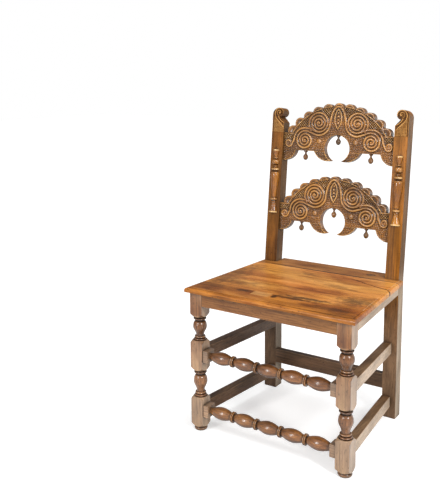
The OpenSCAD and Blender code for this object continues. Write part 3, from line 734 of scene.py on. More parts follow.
# Carved and brushed with wax: ridges rubbed pale, partly a painted highlight,
# over a nearly black ground
CARVED_OAK = OakFinish(
    "carved_oak_rails", "#aa7029", "#81521c", "#53320e", Grain.ACROSS, (0.05, 0.0, 0.0),
    grime_and_shade="#2b2117", worn_and_highlight="#e0ab63", wear_and_highlight=0.85, hollow_dirt=0.85, roughness=0.34,
    coat=0.5, coat_roughness=0.18, bump_mm=0.12,
)
# Small, turned and thickly waxed: the darkest wood, with one highlight each
DROP_OAK = OakFinish(
    "turned_oak_drops", "#7a4815", "#532f0b", "#321b05", Grain.UP, (0.0, 0.0, 0.01),
    worn_and_highlight="#e6b26a", wear_and_highlight=0.1, roughness=0.32, coat=1.0, coat_roughness=0.17, bump_mm=0.06,
)
# Turned, burnished and worn by hands: golden, with bright edges on the rings
# that are partly wear and partly a painted highlight
SPINDLE_OAK = OakFinish(
    "turned_oak_spindles", "#b97a27", "#915916", "#63380a", Grain.RAKED, (0.02, 0.0, 0.0),
    worn_and_highlight="#f0cb8c", wear_and_highlight=0.75, roughness=0.3, coat=0.75, coat_roughness=0.1, bump_mm=0.06,
)


def to_object(name: str, bm: Mesh) -> bpy.types.Object:
    """Puts a mesh in the scene as an object.

    Args:
        name: The object's name.
        bm: Its mesh. It is freed.

    Returns:
        The object.
    """
    mesh = bpy.data.meshes.new(name)
    bm.to_mesh(mesh)
    bm.free()
    made = bpy.data.objects.new(name, mesh)
    bpy.context.scene.collection.objects.link(made)
    return made


def whole(bm: Mesh) -> list[bmesh.types.BMVert | bmesh.types.BMEdge | bmesh.types.BMFace]:
    """All of a mesh, as operators take it."""
    return [*bm.verts, *bm.edges, *bm.faces]


def saw_off(bm: Mesh, at: Vector, beyond: Vector) -> None:
    """Saws off what lies beyond a plane, and closes the cut.

    Args:
        bm: The mesh.
        at: A point of the plane.
        beyond: The direction of what falls off.
    """
    cut = bmesh.ops.bisect_plane(
        bm, geom=whole(bm), plane_co=at, plane_no=beyond, clear_outer=True, dist=1e-5
    )["geom_cut"]
    rim = [e for e in cut if isinstance(e, bmesh.types.BMEdge) and e.is_boundary]
    bmesh.ops.holes_fill(bm, edges=rim, sides=0)


def round_edges(
    bm: Mesh, edges: Iterable[bmesh.types.BMEdge], width: float
) -> list[bmesh.types.BMFace]:
    """Rounds some edges.

    Args:
        bm: The mesh.
        edges: The edges.
        width: Width of the rounding.

    Returns:
        The faces of the rounding.
    """
    return bmesh.ops.bevel(
        bm,
        geom=list(edges),
        offset=width,
        segments=2,
        profile=0.5,
        affect="EDGES",
        material=-1,
        clamp_overlap=True,
    )["faces"]


def soften(bm: Mesh, width: float, above_deg: float = 30.0) -> None:
    """Rounds the sharp edges of a mesh, and marks them as worn by handling, which
    also gives them a painted highlight.

    Args:
        bm: The mesh, in millimetres.
        width: Width of the rounding.
        above_deg: Edges that turn more than this are rounded.
    """
    layers = bm.verts.layers.float
    layer = layers.get(CAVITY) or layers.new(CAVITY)
    limit = math.radians(above_deg)
    sharp = [e for e in bm.edges if len(e.link_faces) == 2 and e.calc_face_angle(0.0) > limit]
    rounded = set(round_edges(bm, sharp, width))
    for vert in {v for f in rounded for v in f.verts}:
        if all(f in rounded for f in vert.link_faces):
            vert[layer] = -1.0


class Bench:
    """Delivers finished meshes to the scene as pieces of the chair."""

    def __init__(self, plan: Plan) -> None:
        """Keeps the two frames that pieces are made in."""
        self.leg = plan.leg_frame()
        self.rake = plan.rake_frame()

    def deliver(
        self,
        name: str,
        bm: Mesh,
        place: Matrix,
        finish: OakFinish,
        nodes: Sequence[str],
        sharp_deg: float = 38.0,
    ) -> None:
        """Puts a mesh in place as a piece that stands for some solids.

        Args:
            name: The piece's name.
            bm: Its mesh in millimetres. It is freed.
            place: Matrix from the mesh's own frame to the chair in metres.
            finish: The finish that it gets.
            nodes: The solids that it stands for.
            sharp_deg: Edges that turn more than this stay sharp.
        """
        bmesh.ops.transform(bm, matrix=place, verts=bm.verts)
        bmesh.ops.recalc_face_normals(bm, faces=bm.faces)
        limit = math.radians(sharp_deg)
        for face in bm.faces:
            face.smooth = True
        for edge in bm.edges:
            edge.smooth = len(edge.link_faces) == 2 and edge.calc_face_angle(0.0) < limit
        piece = to_object(name, bm)
        piece.data.materials.append(finish.material())
        piece.modifiers.new("even_flats", "WEIGHTED_NORMAL").keep_sharp = True
        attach(piece, ROOT)
        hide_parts(*nodes)
        faces = len(piece.data.polygons)
        log.info("%s: %d faces, stands for %s", name, faces, ", ".join(nodes))

    def copy_of(self, node: str) -> Mesh:
        """Copies a solid's mesh in the leg frame, with its flat faces whole.

        Args:
            node: The solid's name.

        Returns:
            The copy, in millimetres.
        """
        bm = bmesh.new()
        bm.from_mesh(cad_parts[node].data)
        bmesh.ops.transform(bm, matrix=self.leg.inverted(), verts=bm.verts)
        bmesh.ops.remove_doubles(bm, verts=bm.verts, dist=WELD_MM)
        flat = math.radians(FLAT_DEG)
        bmesh.ops.dissolve_limit(bm, angle_limit=flat, verts=bm.verts, edges=bm.edges)
        return bm


def bead(z: float, h: float, r: float, steps: int = 12) -> list[Point]:
    """Points of a half-round bead of height h and outer radius r, centred at z."""
    turns = [math.pi * (i / steps - 0.5) for i in range(steps + 1)]
    return [(r - h / 2 + h / 2 * math.cos(a), z + h / 2 * math.sin(a)) for a in turns]


def swell(z0: float, r0: float, z1: float, r1: float, steps: int = 12) -> list[Point]:
    """Points of a quarter ellipse, square to the axis at z0 and along it at z1."""
    turns = [math.pi / 2 * i / steps for i in range(steps + 1)]
    return [(r0 + (r1 - r0) * math.sin(a), z1 + (z0 - z1) * math.cos(a)) for a in turns]


def ogee(z0: float, r0: float, z1: float, r1: float, steps: int = 20) -> list[Point]:
    """Points of an ogee from radius r0 at z0 to radius r1 at z1."""
    at = [i / steps for i in range(steps + 1)]
    return [((r0 + r1 + (r0 - r1) * math.cos(math.pi * u)) / 2, z0 + (z1 - z0) * u) for u in at]


@dataclass
class Turning:
    """A piece turned on a lathe, with its axis on Z."""

    profile: list[Point]
    steps: int = 48
    square: float = 0.0
    polished_r: float = 0.0
    dark_spans: tuple[Point, ...] = ()
    reach: float = 6.0
    hollow_mm: float = 3.5
    dark_span_share: float = 0.7

    def build(self) -> Mesh:
        """Spins the profile, and planes its squares where it has any.

        Returns:
            The mesh, in millimetres.
        """
        bm = bmesh.new()
        layer = bm.verts.layers.float.new(CAVITY)
        polish = bm.verts.layers.float.new(POLISH)
        verts = []
        for (r, z), hollow in zip(self.profile, self._hollows()):
            vert = bm.verts.new((r, 0.0, z))
            vert[layer] = hollow
            vert[polish] = float(0 < r < self.polished_r)
            verts.append(vert)
        edges = [bm.edges.new(pair) for pair in zip(verts, verts[1:])]
        bmesh.ops.spin(
            bm,
            geom=verts + edges,
            cent=(0, 0, 0),
            axis=(0, 0, 1),
            angle=math.tau,
            steps=self.steps,
            use_merge=True,
            use_duplicate=False,
        )
        bmesh.ops.remove_doubles(bm, verts=bm.verts, dist=1e-4)
        if self.square:
            for turn in range(4):
                angle = math.tau * turn / 4
                normal = Vector((math.cos(angle), math.sin(angle), 0))
                saw_off(bm, normal * self.square / 2, normal)
        bmesh.ops.recalc_face_normals(bm, faces=bm.faces)
        return bm

    def _hollows(self) -> list[float]:
        """Works out how far each point lies below its neighbourhood.

        Returns:
            For each point of the profile, -1 on a peak to 1 in a groove.
        """
        rs, zs = np.array(self.profile).T
        if self.square:
            rs = np.minimum(rs, self.square / 2)
        made = []
        for z, r in zip(zs, rs):
            near = np.linspace(z - self.reach, z + self.reach, 25)
            level = float(np.interp(near, zs, rs).mean())
            hollow = max(-1.0, min(1.0, (level - r) / self.hollow_mm))
            held = any(low < z < high for low, high in self.dark_spans)
            made.append(self.dark_span_share if held else hollow)
        return made


@dataclass
class FrontLeg:
    """A front leg: square blocks, pear-shaped bulbs, collars and a bun foot."""

    plan: Plan
    foot_h: float = 12.0
    foot_d: float = 40.5
    groove_h: float = 2.0
    low_block_h: float = 94.0
    low_turn_h: float = 84.0
    mid_block_h: float = 94.0
    top_turn_h: float = 73.5
    top: float = 435.0
    bulb_d: float = 42.0
    neck_d: float = 23.4
    collar_d: float = 38.6
    ring_d: float = 34.0
    drawn_h: float = 78.0
    blank_share: float = 0.72
    collar_from: float = 0.87
    edge: float = 1.4

    def _turned(self, z0: float, h: float) -> list[Point]:
        """Profile of a turned stretch: rings, groove, bulb, neck and collar.

        Args:
            z0: Height of its lower end.
            h: Its own height.

        Returns:
            The points, drawn for drawn_h and stretched to h.
        """
        s = h / self.drawn_h
        neck, ring = self.neck_d / 2, self.ring_d / 2
        half = self.plan.leg_w / 2
        bulb_z = z0 + 44 * s
        return [
            (half, z0),
            *bead(z0 + 3 * s, 6 * s, ring + 1.5),
            (neck + 2, z0 + 6.6 * s),
            (neck + 2, z0 + 7.4 * s),
            *bead(z0 + 10.5 * s, 6 * s, ring - 0.5),
            (neck + 0.4, z0 + 14 * s),
            *ogee(z0 + 15.5 * s, neck, bulb_z, self.bulb_d / 2),
            *swell(z0 + 63 * s, neck, bulb_z, self.bulb_d / 2)[-2::-1],
            (neck, z0 + 66.5 * s),
            *bead(z0 + 70.5 * s, 6 * s, self.collar_d / 2),
            (neck + 2, z0 + 74 * s),
            (neck + 2, z0 + h),
            (half, z0 + h),
        ]

    def build(self, bench: Bench, side: Side) -> None:
        """Makes the leg of one side and delivers it.

        Args:
            bench: Where it is delivered.
            side: The side that it stands on.
        """
        half = self.plan.leg_w / 2
        blank = self.plan.leg_w * self.blank_share
        cone = blank - half
        low = self.foot_h + self.groove_h
        turn = low + self.low_block_h
        mid = turn + self.low_turn_h
        turn2 = mid + self.mid_block_h
        top = turn2 + self.top_turn_h
        profile = [
            (0.0, 0.0),
            *bead(self.foot_h / 2, self.foot_h, self.foot_d / 2),
            (self.foot_d / 2 - self.foot_h / 2, low),
            (half, low),
            (blank, low + cone),
            (blank, turn - cone),
            *self._turned(turn, self.low_turn_h),
            (blank, mid + cone),
            (blank, turn2 - cone),
            *self._turned(turn2, self.top_turn_h),
            (blank, top + cone),
            (blank, self.top),
            (0.0, self.top),
        ]
        # The top of each turned stretch, just under its block, is drawn darker
        collars = tuple(
            (z + h * self.collar_from, z + h)
            for z, h in ((turn, self.low_turn_h), (turn2, self.top_turn_h))
        )
        bm = Turning(profile, 64, self.plan.leg_w, half, collars).build()
        round_edges(bm, [e for e in bm.edges if self._is_corner(e)], self.edge)
        centre = self.plan.front_w / 2 - half
        place = bench.leg @ Matrix.Translation((side.value * centre, half, 0))
        name = f"front_leg_{side.name.lower()}"
        bench.deliver(f"{name}_turned", bm, place, LEG_OAK, [name])

    def _is_corner(self, edge: bmesh.types.BMEdge) -> bool:
        """Tells whether an edge is an upright corner of a block.

        Args:
            edge: The edge.

        Returns:
            True for a corner.
        """
        half = self.plan.leg_w / 2 - 0.01
        a, b = (v.co for v in edge.verts)
        upright = abs(a.x - b.x) + abs(a.y - b.y) < 0.01
        return upright and min(abs(a.x), abs(a.y)) > half and (a - b).length > 5


@dataclass
class FrontStretcher:
    """A front stretcher: olive-shaped bulbs, double rings and square ends."""

    plan: Plan
    end_w: float = 37.0
    end_l: float = 18.0
    end_edge: float = 1.6
    bulbs: int = 5
    bulb_d: float = 38.0
    ring_d: float = 33.0
    ring_w: float = 9.0
    neck_d: float = 20.0
    groove: float = 1.5
    steps: int = 24

    def _profile(self, half: float) -> list[Point]:
        """Draws the turned stretch.

        Args:
            half: Half its length.

        Returns:
            Its profile.
        """
        pitch = 2 * half / self.bulbs
        bulb_l = pitch - self.ring_w
        neck, rise = self.neck_d / 2, (self.bulb_d - self.neck_d) / 2
        points = [(0.0, -half), (neck, -half)]
        for number in range(self.bulbs):
            start = -half + number * pitch + self.ring_w / 2
            parts = [i / self.steps for i in range(self.steps + 1)]
            points += [(neck + rise * math.sin(math.pi * u), start + bulb_l * u) for u in parts]
            if number < self.bulbs - 1:
                ring, w = start + bulb_l, self.ring_w
                points += bead(ring + w * 0.25, w * 0.4, self.ring_d / 2)
                points += [(neck + self.groove, ring + w * x) for x in (0.47, 0.53)]
                points += bead(ring + w * 0.75, w * 0.4, self.ring_d / 2)
        return [*points, (neck, half), (0.0, half)]

    def build(self, bench: Bench, name: str) -> None:
        """Makes one stretcher and delivers it.

        Args:
            bench: Where it is delivered.
            name: The solid that it stands for, which gives its height.
        """
        leg_in = self.plan.front_w / 2 - self.plan.leg_w
        bm = Turning(self._profile(leg_in - self.end_l), polished_r=self.end_w).build()
        lying = Matrix.Rotation(math.pi / 2, 3, "Y")
        bmesh.ops.rotate(bm, verts=bm.verts, cent=(0, 0, 0), matrix=lying)
        for side in Side:
            middle = side.value * (leg_in - self.end_l / 2)
            shape = Matrix.Diagonal((self.end_l, self.end_w, self.end_w, 1))
            place = Matrix.Translation((middle, 0, 0)) @ shape
            cube = bmesh.ops.create_cube(bm, size=1, matrix=place)["verts"]
            round_edges(bm, {e for v in cube for e in v.link_edges}, self.end_edge)
        low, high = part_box(name)
        height = (low.z + high.z) / 2 / MM
        place = bench.leg @ Matrix.Translation((0, self.plan.leg_w / 2, height))
        finish = LOW_TURNED_OAK if name.startswith("lower") else TURNED_OAK
        bench.deliver(f"{name}_turned", bm, place, finish, [name])


@dataclass(frozen=True)
class Ridge:
    """A rounded ridge that is left standing when its sides are carved away."""

    path: Array
    half: float
    height: float

    def over(self, x: Array, z: Array) -> Array:
        """Height of the ridge above the ground, at each point.

        Args:
            x: Places across.
            z: Places up.

        Returns:
            The heights, and BESIDE where the ridge isn't.
        """
        best = np.full(x.shape, 1e9)
        for start in range(0, len(self.path), 64):
            part = self.path[start:start + 64]
            gap = (x[:, None] - part[None, :, 0]) ** 2 + (z[:, None] - part[None, :, 1]) ** 2
            best = np.minimum(best, gap.min(axis=1))
        inside = np.clip(1 - best / self.half ** 2, 0, 1)
        return np.where(inside > 0, self.height * inside ** 0.95, BESIDE)


def smooth_path(points: Sequence[Point], step: float = 0.8) -> Array:
    """Runs a smooth curve through some points.

    Args:
        points: The points, in order.
        step: Distance between two points of the result.

    Returns:
        The curve as an array of X and Z.
    """
    pts = np.array(points, float)
    ends = np.vstack([2 * pts[0] - pts[1], pts, 2 * pts[-1] - pts[-2]])
    made = []
    for a, b, c, d in zip(ends, ends[1:], ends[2:], ends[3:]):
        count = max(2, int(np.hypot(*(c - b)) / step))
        t = np.linspace(0, 1, count, endpoint=False)[:, None]
        bend = (2 * a - 5 * b + 4 * c - d) * t ** 2 + (3 * b - a - 3 * c + d) * t ** 3
        made.append(0.5 * (2 * b + (c - a) * t + bend))
    return np.vstack([*made, pts[-1:]])


def arc(centre: Point, r: float, degrees: Iterable[float]) -> list[Point]:
    """Points of a circle at some angles from +X."""
    turns = [math.radians(a) for a in degrees]
    return [(centre[0] + r * math.cos(a), centre[1] + r * math.sin(a)) for a in turns]


def spiral(
    centre: Point, start_deg: float, r0: float, r1: float, pitch: float, turn: int
) -> list[Point]:
    """Points of a spiral that winds in from radius r0 to radius r1.

    Args:
        centre: Its centre.
        start_deg: Angle of its outer end, from +X.
        r0: Radius of its outer end.
        r1: Radius of its inner end.
        pitch: How much nearer the centre it comes in a full turn.
        turn: 1 to wind anticlockwise, -1 to wind clockwise.

    Returns:
        The points, 12 for a full turn.
    """
    count = int((r0 - r1) / pitch * 12) + 1
    return [
        arc(centre, r0 - pitch * i / 12, [start_deg + turn * 360 * i / 12])[0]
        for i in range(count)
    ]


def circle_gap(x: Array, z: Array, centre: Point, r: float) -> Array:
    """Signed distance to a circle, negative inside."""
    return np.hypot(x - centre[0], z - centre[1]) - r


def dome(x: Array, z: Array, centre: Point, r: float, h: float) -> Array:
    """Height of a round dome of radius r and height h, and BESIDE round it."""
    far = np.hypot(x - centre[0], z - centre[1]) / r
    return np.where(far < 1, h * np.clip(1 - far ** 2, 0, 1) ** 0.5, BESIDE)


def blurred(values: Array, passes: int) -> Array:
    """Averages a grid of values over its neighbours, several times.

    Args:
        values: The grid.
        passes: How many times.

    Returns:
        The averaged grid.
    """
    for _ in range(passes):
        for axis in (0, 1):
            before, after = np.roll(values, 1, axis), np.roll(values, -1, axis)
            values = (before + 2 * values + after) / 4
    return values


@dataclass
class ArchedRail:
    """A back rail with a scalloped arch, a round piercing and raised scrolls.

    Its own X runs from the middle and its Z from the straight lower edge. The
    right half is drawn, and mirrored to the left. Each of lattices is an area
    with latticed ground: its two ends in X, and where it starts in Z. Hollows
    are measured against the ground near and wide around them: each has the
    times that it is averaged, and the depth that counts as a full hollow.
    """

    plan: Plan
    thick: float = 21.0
    setback: float = 9.5
    relief: float = 3.0
    scallops: int = 11
    arc_r: float = 211.5
    step_deg: float = 10.0
    scallop_r: float = 18.5
    scallop_top: float = 140.0
    scallop_depth: float = 11.5
    scoop_r: float = 13.5
    scoop_h: float = 3.0
    lobe_h: float = 2.1
    piercing_r: float = 43.5
    piercing_z: float = 11.5
    horn: Point = (32.4, 22.6)
    horn_r: float = 53.5
    bracket_in: float = 3.3
    bracket_z: float = 7.7
    bracket_r: float = 42.0
    shoulder: float = 58.0
    large: Point = (66.6, 92.5)
    small: Point = (116.0, 35.5)
    end: Point = (175.0, 24.0)
    boss: Point = (64.0, 33.5)
    boss_r: float = 8.5
    boss_h: float = 1.9
    eye_r: float = 4.6
    end_eye_r: float = 3.0
    beads: tuple[float, ...] = (127.0, 115.5, 104.5, 94.0)
    bead_r: float = 3.6
    bead_h: float = 1.7
    border: Point = (0.0, -43.5)
    border_r: float = 192.0
    rim_w: float = 3.2
    round_w: float = 1.6
    round_h: float = 1.5
    ease_d: float = 0.8
    ease_w: float = 0.7
    border_w: float = 1.6
    shoulder_x: float = 160.0
    low_from: float = 140.0
    low_ground: float = -0.9
    low_rim: float = 0.8
    lattices: tuple[Place, ...] = ((96, 999, 60), (150, 999, 38), (12, 60, 116))
    near: tuple[int, float] = (14, 1.7)
    wide: tuple[int, float] = (90, 4.0)
    hollow_base: float = 0.12
    lattice: float = 6.0
    lattice_h: float = 1.5
    lattice_d: float = 2.6
    punch: float = 5.8
    punch_d: float = 1.3
    cell: float = 0.9
    low: float = -44.0
    high: float = 162.0

    def scallop_centres(self) -> list[Point]:
        """Centres of the scallops from the middle one to the right."""
        turns = [90 - i * self.step_deg for i in range(self.scallops // 2 + 1)]
        return arc((0.0, self.scallop_top - self.arc_r), self.arc_r, turns)

    def outline(self, x: Array, z: Array) -> Array:
        """Signed distance to the right half's outline, negative inside.

        Args:
            x: Places across, from the rail's middle.
            z: Places up, from its straight lower edge.

        Returns:
            The distances. The ends at the posts don't count as an outline.
        """
        body_r = self.arc_r + self.scallop_r - self.scallop_depth
        centre = (0.0, self.scallop_top - self.arc_r)
        gap = np.maximum(circle_gap(x, z, centre, body_r), -z)
        for centre in self.scallop_centres():
            gap = np.minimum(gap, circle_gap(x, z, centre, self.scallop_r))
        corner = self.plan.post_in() - self.bracket_in
        shoulder = np.maximum(np.maximum(corner - self.bracket_r - x, -z), z - self.shoulder)
        gap = np.minimum(gap, shoulder)
        bracket = circle_gap(x, z, (corner, self.bracket_z), self.bracket_r)
        gap = np.minimum(gap, np.maximum(bracket, z - self.shoulder))
        horn = np.maximum(circle_gap(x, z, self.horn, self.horn_r), z - 1)
        gap = np.minimum(gap, horn)
        return np.maximum(gap, -circle_gap(x, z, (0.0, self.piercing_z), self.piercing_r))

    def ridges(self) -> list[Ridge]:
        """Draws the carved ridges of the right half.

        Returns:
            The S-shaped band from the crown into the small scroll, the band
            over the small scroll to the end one, the coil in the large scroll,
            the border's arch and its foot, and the rim of the leaf.
        """
        (lx, lz), (sx, sz), (ex, ez) = self.large, self.small, self.end
        s_band = [
            (-4, 146.5), (3, 147.3), (11, 142.0), (18.5, 130.5), (23.5, 115),
            *arc(self.large, 39.3, range(176, 295, 17)),
            (sx - 23, sz + 24.5),
            *spiral(self.small, 102, 30.6, 4.5, 9.9, -1),
        ]
        over_small = [
            (lx + 3, lz - 28.8), (lx + 15, lz - 25.5), (lx + 27, lz - 20),
            *arc(self.small, 39.8, range(100, -1, -20)),
            (ex - 15, ez + 3),
            *spiral(self.end, 200, 12.5, 2.5, 6.2, 1),
        ]
        in_large = spiral(self.large, -42, 37.2, 4.5, 10.0, 1)
        arch = arc(self.border, self.border_r, range(90, 31, -2))
        foot = [(arch[-1][0] - 4, 55.5), (self.plan.post_in() + 2, 55.5)]
        leaf = [(-3, 138), (0, 138), (6.5, 130), (10.5, 119), (11.5, 106), (9.5, 92), (0, 74)]
        drawn = (
            (s_band, 4.9, self.relief),
            (over_small, 4.6, self.relief),
            (in_large, 4.9, self.relief),
            (arch, 2.4, 2.5),
            (foot, 2.2, 2.2),
            (leaf, 2.4, 2.3),
        )
        return [Ridge(smooth_path(points), half, height) for points, half, height in drawn]

    def height(self, x: Array, z: Array) -> Array:
        """Height of the carving above its ground, at each point.

        Args:
            x: Places across, 0 or more.
            z: Places up.

        Returns:
            The heights in millimetres. Hollows are below 0.
        """
        areas = [(x > start) & (x < end) & (z > low) for start, end, low in self.lattices]
        made = np.where(np.any(areas, axis=0), self._lattice(x, z), self._punched(x, z))
        horn = np.maximum(circle_gap(x, z, self.horn, self.horn_r), z)
        rim = -self.outline(x, z)
        lower = (z < 0.5) & ((horn < 0) | (x > self.low_from))
        step = np.where(rim > self.rim_w, self.low_ground, self.low_rim)
        made = np.where(lower, made + step, made)
        for ridge in self.ridges():
            made = np.maximum(made, ridge.over(x, z))
        for centre, r, h in (
            (self.large, self.eye_r, self.relief),
            (self.small, self.eye_r, self.relief),
            (self.end, self.end_eye_r, self.relief),
            (self.boss, self.boss_r, self.boss_h),
            *(((0, level), self.bead_r, self.bead_h) for level in self.beads),
        ):
            made = np.maximum(made, dome(x, z, centre, r, h))
        face = np.full(x.shape, self.lobe_h)
        for centre in self.scallop_centres():
            far = circle_gap(x, z, centre, 0.0) / self.scoop_r
            scoop = self.scoop_h * np.clip(1 - far ** 2, 0, 1) ** 0.7
            face = np.minimum(face, self.lobe_h - scoop)
        lobes = circle_gap(x, z, self.border, self.border_r) > self.border_w
        at_shoulder = (x > self.shoulder_x) & (z < self.shoulder)
        made = np.where(lobes & ~at_shoulder, face, made)
        return made - np.clip(1 - rim / self.round_w, 0, 1) ** 2 * self.round_h

    def _punched(self, x: Array, z: Array) -> Array:
        """Draws ground struck all over with a round punch, in uneven rows.

        Args:
            x: Places across.
            z: Places up.

        Returns:
            The heights, 0 or less.
        """
        u = x / self.punch + 0.3 * np.sin(z / 6.1) + 0.2 * np.sin(z / 2.7)
        v = z / self.punch + 0.3 * np.sin(x / 6.7) + 0.2 * np.sin(x / 3.1)
        marks = np.cos(math.tau * u) + np.cos(math.tau * v)
        return -self.punch_d * np.clip(marks / 2 + 0.35, 0, 1) ** 1.2

    def _lattice(self, x: Array, z: Array) -> Array:
        """Ground cut into diamonds, whose middles are punched away."""
        u, v = (np.abs(np.sin(math.pi * w / math.sqrt(2) / self.lattice)) for w in (x + z, x - z))
        return self.lattice_h - self.lattice_d * np.clip((np.minimum(u, v) - 0.3) / 0.4, 0, 1)

    def build(self, bench: Bench, name: str, s: float) -> None:
        """Makes one rail and delivers it.

        Args:
            bench: Where it is delivered.
            name: The solid that it stands for.
            s: Height of its straight lower edge, up the rake.
        """
        bm = self._half_face()
        same = Matrix.Identity(4)
        bmesh.ops.mirror(bm, geom=whole(bm), matrix=same, merge_dist=0.02, axis="X")
        bmesh.ops.recalc_face_normals(bm, faces=bm.faces)
        self._back(bm)
        place = bench.rake @ Matrix.Translation((0, 0, s))
        bench.deliver(f"{name}_carved", bm, place, CARVED_OAK, [name], 50.0)

    def _half_face(self) -> Mesh:
        """Carves the face of the right half.

        Returns:
            The face, cut to the outline, with its hollows marked.
        """
        width, tall = self.plan.post_in(), self.high - self.low
        nx, nz = round(width / self.cell), round(tall / self.cell)
        bm = bmesh.new()
        layer = bm.verts.layers.float.new(CAVITY)
        bmesh.ops.create_grid(
            bm,
            x_segments=nx,
            y_segments=nz,
            size=1,
            matrix=Matrix.Translation((width / 2, 0, (self.low + self.high) / 2))
            @ Matrix.Rotation(math.pi / 2, 4, "X")
            @ Matrix.Diagonal((width / 2, tall / 2, 1, 1)),
        )
        gx, gz = np.meshgrid(
            np.linspace(0, width, nx + 1), np.linspace(self.low, self.high, nz + 1), indexing="ij"
        )
        level = self.height(gx.ravel(), gz.ravel()).reshape(gx.shape)
        hollow = np.full(level.shape, self.hollow_base)
        for passes, full in (self.near, self.wide):
            hollow += (blurred(level, passes) - level) / full
        hollow = np.clip(hollow, -1, 1)
        for vert in bm.verts:
            i = round(vert.co.x / width * nx)
            j = round((vert.co.z - self.low) / tall * nz)
            vert[layer] = float(hollow[i, j])
        centres = np.array([f.calc_center_median() for f in bm.faces])
        outside = self.outline(centres[:, 0], centres[:, 2]) > 0
        waste = [f for f, out in zip(bm.faces[:], outside) if out]
        bmesh.ops.delete(bm, geom=waste, context="FACES")
        self._trim(bm, width)
        at = np.array([v.co for v in bm.verts])
        for vert, h in zip(bm.verts, self.height(at[:, 0], at[:, 2])):
            vert.co.y = self.setback - float(h)
        return bm

    def _slope(self, x: Array, z: Array, small: float) -> tuple[Array, Array]:
        """Works out how fast the distance to the outline grows.

        Args:
            x: Places across.
            z: Places up.
            small: Half the step that it is measured over.

        Returns:
            Its growth across and up, for each millimetre.
        """
        dx = (self.outline(x + small, z) - self.outline(x - small, z)) / (2 * small)
        dz = (self.outline(x, z + small) - self.outline(x, z - small)) / (2 * small)
        return dx, dz

    def _trim(self, bm: Mesh, width: float) -> None:
        """Moves the vertices of a ragged edge onto the outline.

        Args:
            bm: The face of the right half.
            width: Its width. The edge at the post stays where it is.
        """
        rim = [v for v in bm.verts if v.is_boundary and v.co.x < width - 0.01]
        at = np.array([(v.co.x, v.co.z) for v in rim])
        middle = at[:, 0] < 0.01
        for _ in range(4):
            x, z = at[:, 0], at[:, 1]
            gap = self.outline(x, z)
            dx, dz = self._slope(x, z, 0.05)
            size = np.maximum(np.hypot(dx, dz), 0.3)
            move = np.clip(gap, -self.cell, self.cell) / size ** 2
            move = np.where(middle & (np.abs(gap) > self.cell * 1.2), 0, move)
            at[:, 0] -= np.where(middle, 0, move * dx)
            at[:, 1] -= move * dz
        for vert, (x, z) in zip(rim, at):
            vert.co.x, vert.co.z = max(0.0, float(x)), float(z)

    def _back(self, bm: Mesh) -> None:
        """Gives the carved face its edges, and a plain back with eased corners.

        Args:
            bm: The whole face.
        """
        layer = bm.verts.layers.float[CAVITY]
        back = self.setback + self.thick
        for depth, inward in ((back - self.ease_d, 0.0), (back, self.ease_w)):
            rim = [e for e in bm.edges if e.is_boundary]
            made = bmesh.ops.extrude_edge_only(bm, edges=rim)["geom"]
            verts = [v for v in made if isinstance(v, bmesh.types.BMVert)]
            at = np.array([(abs(v.co.x), v.co.z) for v in verts])
            for vert, dx, dz in zip(verts, *self._slope(at[:, 0], at[:, 1], 0.2)):
                if abs(vert.co.x) < self.plan.post_in() - 1.5:
                    vert.co.x -= math.copysign(inward * float(dx), vert.co.x)
                    vert.co.z -= inward * float(dz)
                vert.co.y = depth
                vert[layer] = 0.0
        rim = [e for e in bm.edges if e.is_boundary]
        bmesh.ops.triangle_fill(
            bm, use_beauty=True, use_dissolve=False, edges=rim, normal=(0, 1, 0)
        )


@dataclass
class Drop:
    """A turned pendant drop under an arched rail."""

    rail: ArchedRail
    length: float = 31.0
    bulb_z: float = -19.5
    bulb_d: float = 17.0
    collar_d: float = 12.6
    neck_d: float = 6.4
    sunk: float = 0.8
    side_x: float = 114.5

    def build(self, bench: Bench, name: str, x_place: int, s: float) -> None:
        """Makes one drop and delivers it.

        Args:
            bench: Where it is delivered.
            name: The solid that it stands for.
            x_place: -1, 0 or 1 for the left, middle or right one.
            s: Height of the rail's straight lower edge, up the rake.
        """
        rail = self.rail
        collar, neck, bulb = self.collar_d / 2, self.neck_d / 2, self.bulb_d / 2
        profile = [
            (0.0, self.sunk),
            (collar - 0.5, self.sunk),
            (collar, 0.0),
            (collar, -collar / 3),
            *ogee(-collar / 3 - 0.2, collar, -collar, neck, 8),
            *ogee(-1.3 * collar, neck, self.bulb_z, bulb),
            *swell(-self.length, 0.0, self.bulb_z, bulb)[-2::-1],
        ]
        top = 0.0
        if x_place == 0:
            sag = rail.piercing_r - math.sqrt(rail.piercing_r ** 2 - collar ** 2)
            top = rail.piercing_z + rail.piercing_r - sag
        middle = rail.setback + rail.thick / 2
        place = bench.rake @ Matrix.Translation((x_place * self.side_x, middle, s + top))
        bm = Turning(profile, 36).build()
        bench.deliver(f"{name}_turned", bm, place, DROP_OAK, [name])


